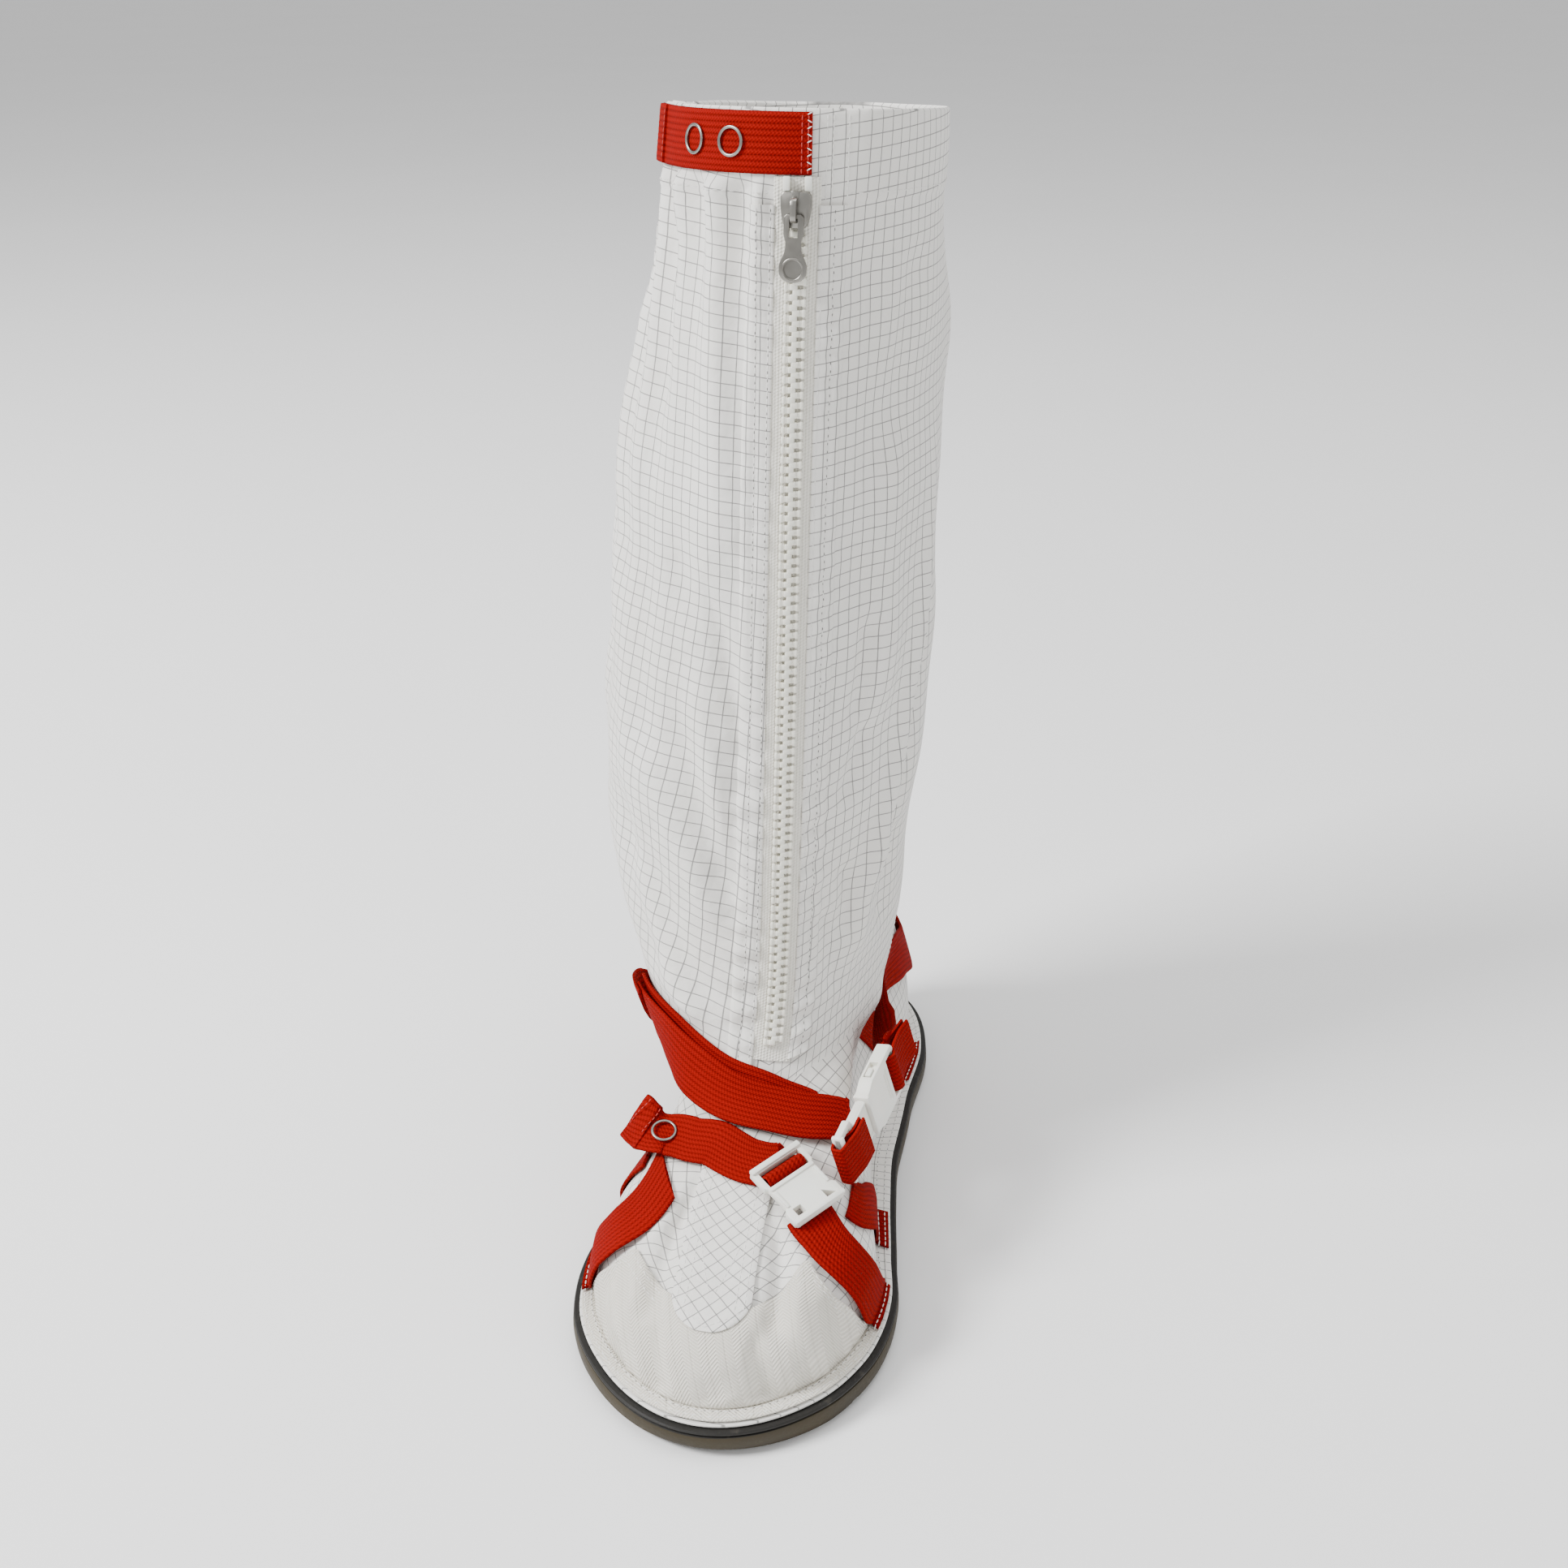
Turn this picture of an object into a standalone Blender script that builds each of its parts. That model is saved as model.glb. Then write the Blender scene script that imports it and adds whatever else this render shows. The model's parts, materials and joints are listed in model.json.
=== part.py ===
"""Knee-high cleanroom boot for the right foot, standing empty on its sole.

The boot stands on the XY plane with its toe towards -Y and its inner side towards +X.
Sizes and tables are in millimetres and are scaled once, when a mesh is made.
"""
import math
from collections import namedtuple

import bpy
import bmesh
from mathutils import Matrix, Vector

for old in list(bpy.data.objects):
    bpy.data.objects.remove(old)

MM = 0.001

# Driving dimensions of the foot and the shaft
SOLE_LENGTH = 318.0
SOLE_THICK = 12.0
TOE_RADIUS = 46.0
HEEL_RADIUS = 47.0
WALL = 1.5
GAP = 0.4
COLLAR_HEIGHT = 454.0
COLLAR_DROP = 10.0
HEM_HEIGHT = 31.0
HEM_STEP = 0.6
FLANGE_EDGE_INSET = 3.2
FLANGE_TOP = SOLE_THICK + GAP + WALL

# Driving dimensions of the trimmings
WEB_WIDTH = 21.0
WEB_THICK = 1.3
TAPE_WIDTH = 14.5
TAPE_THICK = 0.7
CHAIN_WIDTH = 6.6
CHAIN_THICK = 2.4

# Outline of the sole: distance from the toe, half of the width there, and how far
# the middle of the sole lies from the line between heel and toe
SoleRow = namedtuple("SoleRow", "from_toe half_width centre")
SOLE_ROWS = [
    SoleRow(25, 47.0, -3.5),
    SoleRow(45, 59.5, -4.5),
    SoleRow(65, 65.0, -5.0),
    SoleRow(85, 66.0, -5.5),
    SoleRow(110, 62.0, -6.0),
    SoleRow(145, 56.0, -6.0),
    SoleRow(180, 51.0, -5.0),
    SoleRow(215, 48.5, -3.0),
    SoleRow(258, 47.5, -1.0),
]

# Rings of the upper from the sole seam to the collar. Each ring is a loop through a
# point on the front line and a point on the back line. follow is the share of the
# sole's outline in its shape, trim is how far it lies inside that outline.
UpperRow = namedtuple("UpperRow", "front front_z back back_z follow trim half_width centre")
UPPER_ROWS = [
    UpperRow(11.0, FLANGE_TOP, 307, FLANGE_TOP, 1.00, 12, 50, -5),
    UpperRow(11.0, 21, 309, 27, 1.00, 12, 50, -5),
    UpperRow(13.5, 31, 310, 45, 1.00, 14, 48, -5),
    UpperRow(20.0, 39, 309, 62, 0.95, 20, 44, -5),
    UpperRow(33.0, 45, 307, 76, 0.85, 27, 41, -5),
    UpperRow(53.0, 50, 305, 88, 0.65, 31, 40, -6),
    UpperRow(77.0, 56, 303, 99, 0.40, 33, 39, -7),
    UpperRow(101.0, 65, 301, 110, 0.15, 30, 42, -10),
    UpperRow(121.0, 79, 300, 122, 0.00, 20, 50, -16),
    UpperRow(134.0, 103, 300, 139, 0.00, 20, 57, -22),
    UpperRow(141.0, 131, 302, 160, 0.00, 20, 63, -26),
    UpperRow(146.0, 162, 304, 186, 0.00, 20, 67, -27),
    UpperRow(152.0, 205, 307, 222, 0.00, 20, 69, -26),
    UpperRow(158.0, 255, 310, 265, 0.00, 20, 67.5, -24),
    UpperRow(164.0, 310, 311, 316, 0.00, 20, 64, -21.5),
    UpperRow(171.0, 365, 311, 366, 0.00, 20, 59, -16.5),
    UpperRow(177.0, 410, 309, 406, 0.00, 20, 53.5, -12),
    UpperRow(182.0, COLLAR_HEIGHT, 304, COLLAR_HEIGHT - COLLAR_DROP, 0.00, 20, 50, -10.5),
]

RING_STEPS = 44


def fair(xs, ys, x):
    """Value at x of the smooth curve through the points, which never overshoots them."""
    if x <= xs[0]:
        return ys[0]
    if x >= xs[-1]:
        return ys[-1]
    i = max(k for k in range(len(xs) - 1) if xs[k] <= x)

    def secant(k):
        return (ys[k + 1] - ys[k]) / (xs[k + 1] - xs[k])

    def slope(k):
        if k == 0:
            return secant(0)
        if k == len(xs) - 1:
            return secant(k - 1)
        before, after = secant(k - 1), secant(k)
        if before * after <= 0:
            return 0.0
        return 2 * before * after / (before + after)

    span = xs[i + 1] - xs[i]
    t = (x - xs[i]) / span
    return ((2 * t ** 3 - 3 * t ** 2 + 1) * ys[i] + (t ** 3 - 2 * t ** 2 + t) * span * slope(i)
            + (3 * t ** 2 - 2 * t ** 3) * ys[i + 1] + (t ** 3 - t ** 2) * span * slope(i + 1))


def from_toe_to_y(from_toe):
    return from_toe - SOLE_LENGTH / 2


def fullness_table():
    """Half width divided by that of a circle, at the angle of each row of the outline."""
    half = SOLE_LENGTH / 2
    angles = [0.0]
    values = [math.sqrt(TOE_RADIUS * half)]
    for row in SOLE_ROWS:
        angle = math.acos(1 - row.from_toe / half)
        angles.append(angle)
        values.append(row.half_width / math.sin(angle))
    angles.append(math.pi)
    values.append(math.sqrt(HEEL_RADIUS * half))
    return angles, values


FULL_ANGLES, FULL_VALUES = fullness_table()
CENTRE_AT = [row.from_toe for row in SOLE_ROWS]
CENTRE_X = [row.centre for row in SOLE_ROWS]


def fullness(angle):
    folded = abs((angle + math.pi) % (2 * math.pi) - math.pi)
    return fair(FULL_ANGLES, FULL_VALUES, folded)


def middle(from_toe):
    if from_toe > 258:
        return CENTRE_X[-1] * max(0.0, (SOLE_LENGTH - from_toe) / (SOLE_LENGTH - 258))
    return fair(CENTRE_AT, CENTRE_X, from_toe)


def sole_point(angle, inset=0.0):
    """Point of the sole's outline, moved inwards along its own normal."""
    def raw(a):
        from_toe = SOLE_LENGTH / 2 * (1 - math.cos(a))
        x = middle(from_toe) + fullness(a) * math.sin(a)
        return Vector((x, from_toe_to_y(from_toe), 0.0))

    step = 0.01
    ahead = (raw(angle + step) - raw(angle - step)).normalized()
    inwards = Vector((-ahead.y, ahead.x, 0.0))
    return raw(angle) + inwards * inset


def upper_value(column, v):
    return fair(list(range(len(UPPER_ROWS))), [getattr(row, column) for row in UPPER_ROWS], v)


def upper_ring(v):
    """The values of the ring at v, a row number that may lie between two rows."""
    return UpperRow(*(upper_value(column, v) for column in UpperRow._fields))


def ring_point(ring, angle):
    share = (1 - math.cos(angle)) / 2
    from_toe = ring.front + (ring.back - ring.front) * share
    z = ring.front_z + (ring.back_z - ring.front_z) * share
    along_sole = SOLE_LENGTH * share
    round_part = ring.half_width * (1 + 0.06 * math.sin(angle) ** 2 * math.cos(angle) ** 2)
    width = ring.follow * (fullness(angle) - ring.trim) + (1 - ring.follow) * round_part
    centre = ring.follow * middle(along_sole) + (1 - ring.follow) * ring.centre
    return Vector((centre + width * math.sin(angle), from_toe_to_y(from_toe), z))


def upper_point(angle, v):
    return ring_point(upper_ring(v), angle)


def upper_normal(angle, v):
    step = 0.02
    top = len(UPPER_ROWS) - 1
    around = upper_point(angle + step, v) - upper_point(angle - step, v)
    upward = upper_point(angle, min(v + step, top)) - upper_point(angle, max(v - step, 0.0))
    return around.cross(upward).normalized()


def row_at_height(angle, z):
    """Row number at which the wall reaches the height z."""
    low, high = 0.0, float(len(UPPER_ROWS) - 1)
    for _ in range(26):
        mid = (low + high) / 2
        if upper_point(angle, mid).z < z:
            low = mid
        else:
            high = mid
    return (low + high) / 2


def material(name, colour, roughness, metallic=0.0):
    made = bpy.data.materials.get(name)
    if made is None:
        made = bpy.data.materials.new(name)
        made.use_nodes = True
        shader = made.node_tree.nodes["Principled BSDF"]
        shader.inputs["Base Color"].default_value = (*colour, 1.0)
        shader.inputs["Roughness"].default_value = roughness
        shader.inputs["Metallic"].default_value = metallic
    return made


def finish(name, mesh, look, smooth=40):
    """Turn a bmesh in millimetres into a named object in metres."""
    bmesh.ops.scale(mesh, vec=(MM, MM, MM), verts=mesh.verts)
    bmesh.ops.recalc_face_normals(mesh, faces=mesh.faces)
    data = bpy.data.meshes.new(name)
    mesh.to_mesh(data)
    mesh.free()
    data.shade_smooth()
    data.set_sharp_from_angle(angle=math.radians(smooth))
    made = bpy.data.objects.new(name, data)
    made.data.materials.append(look)
    bpy.context.collection.objects.link(made)
    return made


def skin(mesh, rings, closed_rings=True):
    """Bridge a row of equally long rings and return the rings of vertices."""
    made = [[mesh.verts.new(point) for point in ring] for ring in rings]
    for lower, upper in zip(made, made[1:]):
        count = len(lower)
        for i in range(count if closed_rings else count - 1):
            j = (i + 1) % count
            mesh.faces.new((lower[i], lower[j], upper[j], upper[i]))
    return made


def ring_angles(count=RING_STEPS):
    return [2 * math.pi * i / count for i in range(count)]


FABRIC = material("fabric", (0.70, 0.69, 0.65), 0.75)
TWILL = material("twill", (0.76, 0.74, 0.66), 0.85)
WEB = material("webbing", (0.50, 0.012, 0.006), 0.80)
RUBBER = material("rubber", (0.024, 0.018, 0.008), 0.60)
IVORY = material("ivory_plastic", (0.80, 0.78, 0.68), 0.40)
TAPE = material("zip_tape", (0.74, 0.73, 0.66), 0.85)
NICKEL = material("nickel", (0.45, 0.44, 0.42), 0.30, 1.0)
LINING = material("lining", (0.62, 0.61, 0.58), 0.85)


# Outsole
# Rim of the sole from the ground up: height and how far it lies inside the outline
RimRow = namedtuple("RimRow", "z inset")
RIM_ROWS = [
    RimRow(0.0, 2.4),
    RimRow(1.2, 1.3),
    RimRow(3.0, 1.0),
    RimRow(3.3, 0.3),
    RimRow(7.0, 0.0),
    RimRow(9.6, 0.5),
    RimRow(9.9, 1.2),
    RimRow(10.5, 1.2),
    RimRow(10.8, 0.4),
    RimRow(SOLE_THICK, 0.9),
]
TOE_SPRING = 3.0
TOE_SPRING_FROM = 34.0
SOLE_STEPS = 60
GROOVE_DEPTH = 1.6
GROOVE_WIDTH = 4.0
GROOVE_PITCH = 13.0
# Grooved parts of the tread: distance from the toe at which each starts and ends
TREAD_BANDS = [(40.0, 125.0), (232.0, 300.0)]
ARCH_FROM = 136.0
ARCH_TO = 222.0


def spring(from_toe):
    """Rise of the underside towards the tip of the toe."""
    reach = max(0.0, 1 - from_toe / TOE_SPRING_FROM)
    return TOE_SPRING * reach ** 2


def outsole():
    mesh = bmesh.new()
    rings = []
    for row in RIM_ROWS:
        ring = []
        for angle in ring_angles(SOLE_STEPS):
            point = sole_point(angle, row.inset)
            lift = spring(point.y + SOLE_LENGTH / 2) * (1 - row.z / SOLE_THICK)
            ring.append((point.x, point.y, row.z + lift))
        rings.append(ring)
    made = skin(mesh, rings)
    under = bmesh.ops.contextual_create(mesh, geom=made[0])["faces"]
    mesh.faces.new(made[-1])
    bmesh.ops.triangulate(mesh, faces=under, quad_method="BEAUTY", ngon_method="BEAUTY")
    sole = finish("outsole", mesh, RUBBER)
    cut = sole.modifiers.new("tread", "BOOLEAN")
    cut.object = tread_cutter()
    cut.operation = "DIFFERENCE"
    cut.solver = "EXACT"
    return sole


def box(mesh, low, high):
    made = bmesh.ops.create_cube(mesh, size=1.0)["verts"]
    size = [high[i] - low[i] for i in range(3)]
    middle_point = [(high[i] + low[i]) / 2 for i in range(3)]
    bmesh.ops.scale(mesh, vec=size, verts=made)
    bmesh.ops.translate(mesh, vec=middle_point, verts=made)
    return made


def tread_cutter():
    """Cross grooves under the forefoot and the heel, and the shallow arch between."""
    mesh = bmesh.new()
    reach = 90.0
    for start, end in TREAD_BANDS:
        from_toe = start
        while from_toe <= end:
            y = from_toe_to_y(from_toe)
            box(mesh, (-reach, y - GROOVE_WIDTH / 2, -5), (reach, y + GROOVE_WIDTH / 2, GROOVE_DEPTH))
            from_toe += GROOVE_PITCH
    box(mesh, (-reach, from_toe_to_y(ARCH_FROM), -5), (reach, from_toe_to_y(ARCH_TO), GROOVE_DEPTH * 0.9))
    cutter = finish("tread_cutter", mesh, RUBBER)
    cutter.hide_render = True
    cutter.display_type = "WIRE"
    return cutter


outsole()


# Insole
INSOLE_INSET = 15.0
INSOLE_THICK = 3.0


def insole():
    mesh = bmesh.new()
    low = SOLE_THICK + GAP
    levels = [(low, 0.0), (low + INSOLE_THICK * 0.7, 0.0), (low + INSOLE_THICK, 0.9)]
    rings = []
    for z, inset in levels:
        points = [sole_point(angle, INSOLE_INSET + inset) for angle in ring_angles(40)]
        rings.append([(point.x, point.y, z) for point in points])
    made = skin(mesh, rings)
    mesh.faces.new(made[0])
    mesh.faces.new(made[-1])
    return finish("insole", mesh, LINING)


insole()


# Upper
LAST_ROW = float(len(UPPER_ROWS) - 1)
HEM_ROW = row_at_height(0.0, COLLAR_HEIGHT - HEM_HEIGHT)
HEM_BLEND = 0.035
# How far the inner face lies behind the outer one where the wall meets the flange
ROOT_INSET = 1.2


def hem_step(v):
    """The folded hem makes the wall at the collar a little thicker."""
    return HEM_STEP * min(1.0, max(0.0, (v - HEM_ROW) / HEM_BLEND))


# Rows between which the ankle bends so much that half rows get rings too
ANKLE_ROWS = range(5, 10)


def upper_rows():
    """Row numbers at which rings are made, with two close ones where the hem starts."""
    whole = [float(v) for v in range(int(LAST_ROW))]
    halves = [v + 0.5 for v in ANKLE_ROWS]
    return sorted(whole + halves + [HEM_ROW, HEM_ROW + HEM_BLEND, LAST_ROW])


def upper():
    mesh = bmesh.new()
    outer, inner = [], []
    edge = [sole_point(angle, FLANGE_EDGE_INSET) for angle in ring_angles()]
    outer.append([(p.x, p.y, FLANGE_TOP) for p in edge])
    inner.append([(p.x, p.y, FLANGE_TOP - WALL) for p in edge])
    for v in upper_rows():
        out_ring, in_ring = [], []
        for angle in ring_angles():
            point = upper_point(angle, v)
            normal = upper_normal(angle, v)
            if v == 0.0:
                foot = Vector((point.x, point.y, FLANGE_TOP - WALL))
                out_ring.append(point)
                in_ring.append(foot - ROOT_INSET * Vector((normal.x, normal.y, 0)))
                continue
            out_ring.append(point + normal * hem_step(v))
            in_ring.append(point - normal * WALL)
        outer.append(out_ring)
        inner.append(in_ring)
    out_made = skin(mesh, outer)
    in_made = skin(mesh, inner)
    for k in (0, -1):
        count = RING_STEPS
        for i in range(count):
            j = (i + 1) % count
            mesh.faces.new((out_made[k][i], out_made[k][j], in_made[k][j], in_made[k][i]))
    return finish("upper", mesh, FABRIC, smooth=60)


upper()


def surface(turn, v, lift=0.0):
    """Point over the upper; v from -1 to 0 crosses the sewn flange from its edge inwards."""
    angle = math.radians(turn)
    if v < 0.0:
        edge = sole_point(angle, FLANGE_EDGE_INSET)
        root = upper_point(angle, 0.0)
        flat = root.lerp(edge, -v)
        return Vector((flat.x, flat.y, FLANGE_TOP + lift))
    v = min(v, LAST_ROW)
    return upper_point(angle, v) + upper_normal(angle, v) * (lift + hem_step(v))


def surface_normal(turn, v):
    """Outward direction, smoothed over the corner between flange and wall."""
    normal = upper_normal(math.radians(turn), min(max(v, 0.0), LAST_ROW))
    blend = min(1.0, max(0.0, 0.5 - v))
    return normal.lerp(Vector((0, 0, 1)), blend).normalized()


# Row at which bands and toe cap end, just inside the flange's own edge
SEAM_EDGE = -0.93


def beside(turn, v, direction, distance):
    """Turn and row of the point that lies a distance away along the surface."""
    for _ in range(2):
        here = surface(turn, v)
        around = (surface(turn + 1, v) - surface(turn - 1, v)) / 2
        upward = (surface(turn, v + 0.05) - surface(turn, v - 0.05)) / 0.1
        half = direction * distance / 2
        a, b, c = around.dot(around), around.dot(upward), upward.dot(upward)
        p, q = around.dot(half), upward.dot(half)
        det = a * c - b * b
        turn += (c * p - b * q) / det
        v += (a * q - b * p) / det
    return turn, max(v, SEAM_EDGE)


# A stop on the route of a strap: degrees around the boot from the toe, positive on
# the inner side, the row of the upper that it crosses, and its height off the fabric
Stop = namedtuple("Stop", "turn row lift")


def route(stops, count):
    """Evenly spaced stops along the smooth curve through the given ones."""
    keys = list(range(len(stops)))
    made = []
    for i in range(count):
        t = (len(stops) - 1) * i / (count - 1)
        made.append(Stop(*(fair(keys, [getattr(stop, f) for stop in stops], t) for f in Stop._fields)))
    return made


def strap(name, stops, sections, width=WEB_WIDTH, thick=WEB_THICK, look=WEB, across=4):
    """Flat band that follows the upper, with its width square to its route."""
    mesh = bmesh.new()
    path = route(stops, sections)
    centres = [surface(stop.turn, stop.row, stop.lift) for stop in path]
    rings = []
    for i, stop in enumerate(path):
        ahead = centres[min(i + 1, sections - 1)] - centres[max(i - 1, 0)]
        normal = surface_normal(stop.turn, stop.row)
        sideways = normal.cross(ahead).normalized()
        under, over = [], []
        for k in range(across):
            distance = width * (k / (across - 1) - 0.5)
            turn, row = beside(stop.turn, stop.row, sideways, distance)
            up = surface_normal(turn, row)
            low = surface(turn, row) + up * stop.lift
            under.append(low)
            over.append(low + up * thick)
        rings.append(under + over[::-1])
    made = skin(mesh, rings)
    mesh.faces.new(made[0])
    mesh.faces.new(made[-1])
    return finish(name, mesh, look)


def turn_at_x(v, x):
    """Degrees around the front of the ring at v at which it passes the plane x."""
    low, high = -60.0, 60.0
    for _ in range(24):
        mid = (low + high) / 2
        if upper_point(math.radians(mid), v).x < x:
            low = mid
        else:
            high = mid
    return (low + high) / 2


# Toe cap and the strip down the middle of the foot
CAP_LIFT = 1.05
CAP_THICK = 0.8
CapRow = namedtuple("CapRow", "turn top")
CAP_ROWS = [
    CapRow(-53, -0.35),
    CapRow(-49, 0.6),
    CapRow(-42, 2.2),
    CapRow(-35, 3.7),
    CapRow(-24, 3.75),
    CapRow(-14, 3.1),
    CapRow(0, 2.9),
    CapRow(14, 3.1),
    CapRow(24, 3.9),
    CapRow(33, 4.2),
    CapRow(41, 2.6),
    CapRow(50, 0.6),
    CapRow(55, -0.35),
]


def cap_top(turn):
    return fair([row.turn for row in CAP_ROWS], [row.top for row in CAP_ROWS], turn)


def toe_cap():
    """Twill overlay of the toe, from the sewn flange up to its pointed rear edges."""
    mesh = bmesh.new()
    across, steps = 26, 7
    first, last = CAP_ROWS[0].turn, CAP_ROWS[-1].turn
    sheets = []
    for lift in (CAP_LIFT, CAP_LIFT + CAP_THICK):
        columns = []
        for i in range(across + 1):
            turn = first + (last - first) * i / across
            column = []
            for k in range(steps + 1):
                v = -0.9 + (cap_top(turn) + 0.9) * k / steps
                flat = surface(turn, v)
                column.append(mesh.verts.new(flat + surface_normal(turn, v) * lift))
            columns.append(column)
        for left, right in zip(columns, columns[1:]):
            for k in range(steps):
                mesh.faces.new((left[k], right[k], right[k + 1], left[k + 1]))
        sheets.append(columns)
    low, high = sheets
    border = [(i, 0) for i in range(across)] + [(across, k) for k in range(steps)]
    border += [(i, steps) for i in range(across, 0, -1)] + [(0, k) for k in range(steps, 0, -1)]
    for (i, k), (j, m) in zip(border, border[1:] + border[:1]):
        mesh.faces.new((low[i][k], low[j][m], high[j][m], high[i][k]))
    return finish("toe_cap", mesh, TWILL, smooth=60)


toe_cap()

STRIP_WIDTH = 30.0
VAMP_STRIP = [Stop(0, 3.2, 2.1), Stop(0, 3.9, 1.9), Stop(-1, 4.7, 0.7), Stop(-2, 5.7, 0.6),
              Stop(0, 6.75, 0.6)]
strap("vamp_strip", VAMP_STRIP, 10, width=STRIP_WIDTH, thick=0.8, look=FABRIC, across=5)


# Zip
ZIP_X = -3.0
ZIP_BOTTOM_ROW = 8.6
ZIP_TOP_ROW = 16.5
SLIDER_ROW = 16.25
CHAIN_TOP_ROW = 16.09


def zip_stops(first, last, lift, x=ZIP_X):
    rows = [first + (last - first) * i / 5 for i in range(6)]
    return [Stop(turn_at_x(v, x), v, lift) for v in rows]


strap("zip_tape", zip_stops(ZIP_BOTTOM_ROW, ZIP_TOP_ROW, 0.45), 20, width=TAPE_WIDTH,
      thick=TAPE_THICK, look=TAPE, across=3)
strap("zip_chain", zip_stops(ZIP_BOTTOM_ROW, CHAIN_TOP_ROW, 1.5), 20, width=CHAIN_WIDTH,
      thick=CHAIN_THICK, look=IVORY, across=2)


def local_frame(turn, v, lift, ahead):
    """Matrix whose X runs along the surface, Y across and Z outwards."""
    out = surface_normal(turn, v)
    along = (ahead - out * ahead.dot(out)).normalized()
    side = out.cross(along)
    made = Matrix((along, side, out)).transposed().to_4x4()
    made.translation = surface(turn, v, lift)
    return made


SLIDER_TURN = turn_at_x(SLIDER_ROW, ZIP_X)
SLIDER_LIFT = 2.2
SLIDER_FACE = 3.4
PIN_OUT = 1.5
PIN_ALONG = -2.1


def slider_frame():
    """X runs up along the zip, Y across it and Z outwards, from the tape's face."""
    return local_frame(SLIDER_TURN, SLIDER_ROW, SLIDER_LIFT, Vector((0, 0, 1)))


def square_across_x(frame):
    """The same frame turned so that Y lies along the world's X, as the hinge does."""
    out = frame.col[2].to_3d()
    flat_out = Vector((0, out.y, out.z)).normalized()
    up = flat_out.cross(Vector((-1, 0, 0))).normalized()
    if up.z < 0:
        up = -up
    side = flat_out.cross(up)
    made = Matrix((up, side, flat_out)).transposed().to_4x4()
    made.translation = frame.translation
    return made


SLIDER_FRAME = square_across_x(slider_frame())


def mirrored(half):
    """Close an outline whose given half lies on the side of positive y."""
    return half + [(x, -y) for x, y in reversed(half)]


def outline_solid(mesh, points, low, high):
    """Prism between two heights over a flat outline of (x, y) points."""
    bottom = [mesh.verts.new((x, y, low)) for x, y in points]
    top = [mesh.verts.new((x, y, high)) for x, y in points]
    count = len(points)
    mesh.faces.new(bottom)
    mesh.faces.new(top)
    for i in range(count):
        j = (i + 1) % count
        mesh.faces.new((bottom[i], bottom[j], top[j], top[i]))


def hidden_cutter(name, low, high, frame):
    mesh = bmesh.new()
    box(mesh, low, high)
    bmesh.ops.transform(mesh, matrix=frame, verts=mesh.verts)
    cutter = finish(name, mesh, IVORY)
    cutter.hide_render = True
    cutter.display_type = "WIRE"
    return cutter


def join_or_cut(made, other, operation):
    change = made.modifiers.new(other.name, "BOOLEAN")
    change.object = other
    change.operation = operation
    change.solver = "EXACT"


def slider():
    mesh = bmesh.new()
    # Shoulders wide at the top, narrow where the closed chain leaves
    outline_solid(mesh, mirrored([(6.2, 5.0), (1.0, 5.5), (-4.6, 4.5), (-6.2, 3.6)]), 0.0, SLIDER_FACE)
    bmesh.ops.transform(mesh, matrix=SLIDER_FRAME, verts=mesh.verts)
    made = finish("zip_slider", mesh, NICKEL)
    low, high = (-4.4, -1.1, SLIDER_FACE - 0.5), (4.2, 1.1, SLIDER_FACE + 4.0)
    join_or_cut(made, hidden_cutter("bridge_block", low, high, SLIDER_FRAME), "UNION")
    low, high = (-3.2, -2.0, SLIDER_FACE), (3.0, 2.0, SLIDER_FACE + 2.9)
    tunnel = hidden_cutter("bridge_tunnel", low, high, SLIDER_FRAME)
    join_or_cut(made, tunnel, "DIFFERENCE")
    return made


slider()

# Outline of the pull tab: distance from its pin and half of its width there
PullRow = namedtuple("PullRow", "reach half_width")
PULL_ROWS = [
    PullRow(-0.75, 3.2),
    PullRow(-0.2, 3.6),
    PullRow(6.2, 3.6),
    PullRow(8.6, 2.9),
    PullRow(11.5, 3.1),
    PullRow(14.5, 4.4),
    PullRow(17.0, 5.1),
    PullRow(19.4, 5.0),
    PullRow(21.4, 3.8),
    PullRow(22.6, 1.6),
]
PULL_THICK = 1.4
PULL_WINDOW = (0.75, 7.2, 1.6)


def pull_tab():
    frame = SLIDER_FRAME @ Matrix.Translation((PIN_ALONG, 0, SLIDER_FACE + PIN_OUT))
    mesh = bmesh.new()
    right = [(-row.reach, row.half_width) for row in PULL_ROWS]
    left = [(-row.reach, -row.half_width) for row in reversed(PULL_ROWS)]
    outline_solid(mesh, right + left, -PULL_THICK / 2, PULL_THICK / 2)
    made = finish("zip_pull", mesh, NICKEL)
    made.matrix_world = Matrix.Translation(frame.translation * MM) @ frame.to_3x3().to_4x4()
    near, far, half = PULL_WINDOW
    window = hidden_cutter("pull_window", (-far, -half, -2), (-near, half, 2), frame)
    join_or_cut(made, window, "DIFFERENCE")
    return made


pull_tab()


def zip_stop(name, side):
    mesh = bmesh.new()
    box(mesh, (-2.0, -1.2, 0.0), (2.0, 1.2, 2.4))
    v = ZIP_TOP_ROW - 0.05
    frame = local_frame(turn_at_x(v, ZIP_X + side * 3.6), v, 1.6, Vector((0, 0, 1)))
    bmesh.ops.transform(mesh, matrix=frame, verts=mesh.verts)
    return finish(name, mesh, IVORY)


zip_stop("zip_stop_inner", 1)
zip_stop("zip_stop_outer", -1)


# Straps and side bands
COLLAR = [Stop(14, 16.75, 0.5), Stop(-10, 16.75, 0.5), Stop(-36, 16.75, 0.6), Stop(-58, 16.75, 1.4),
          Stop(-72, 16.75, 4.0)]
strap("collar_strap", COLLAR, 16)

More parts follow.
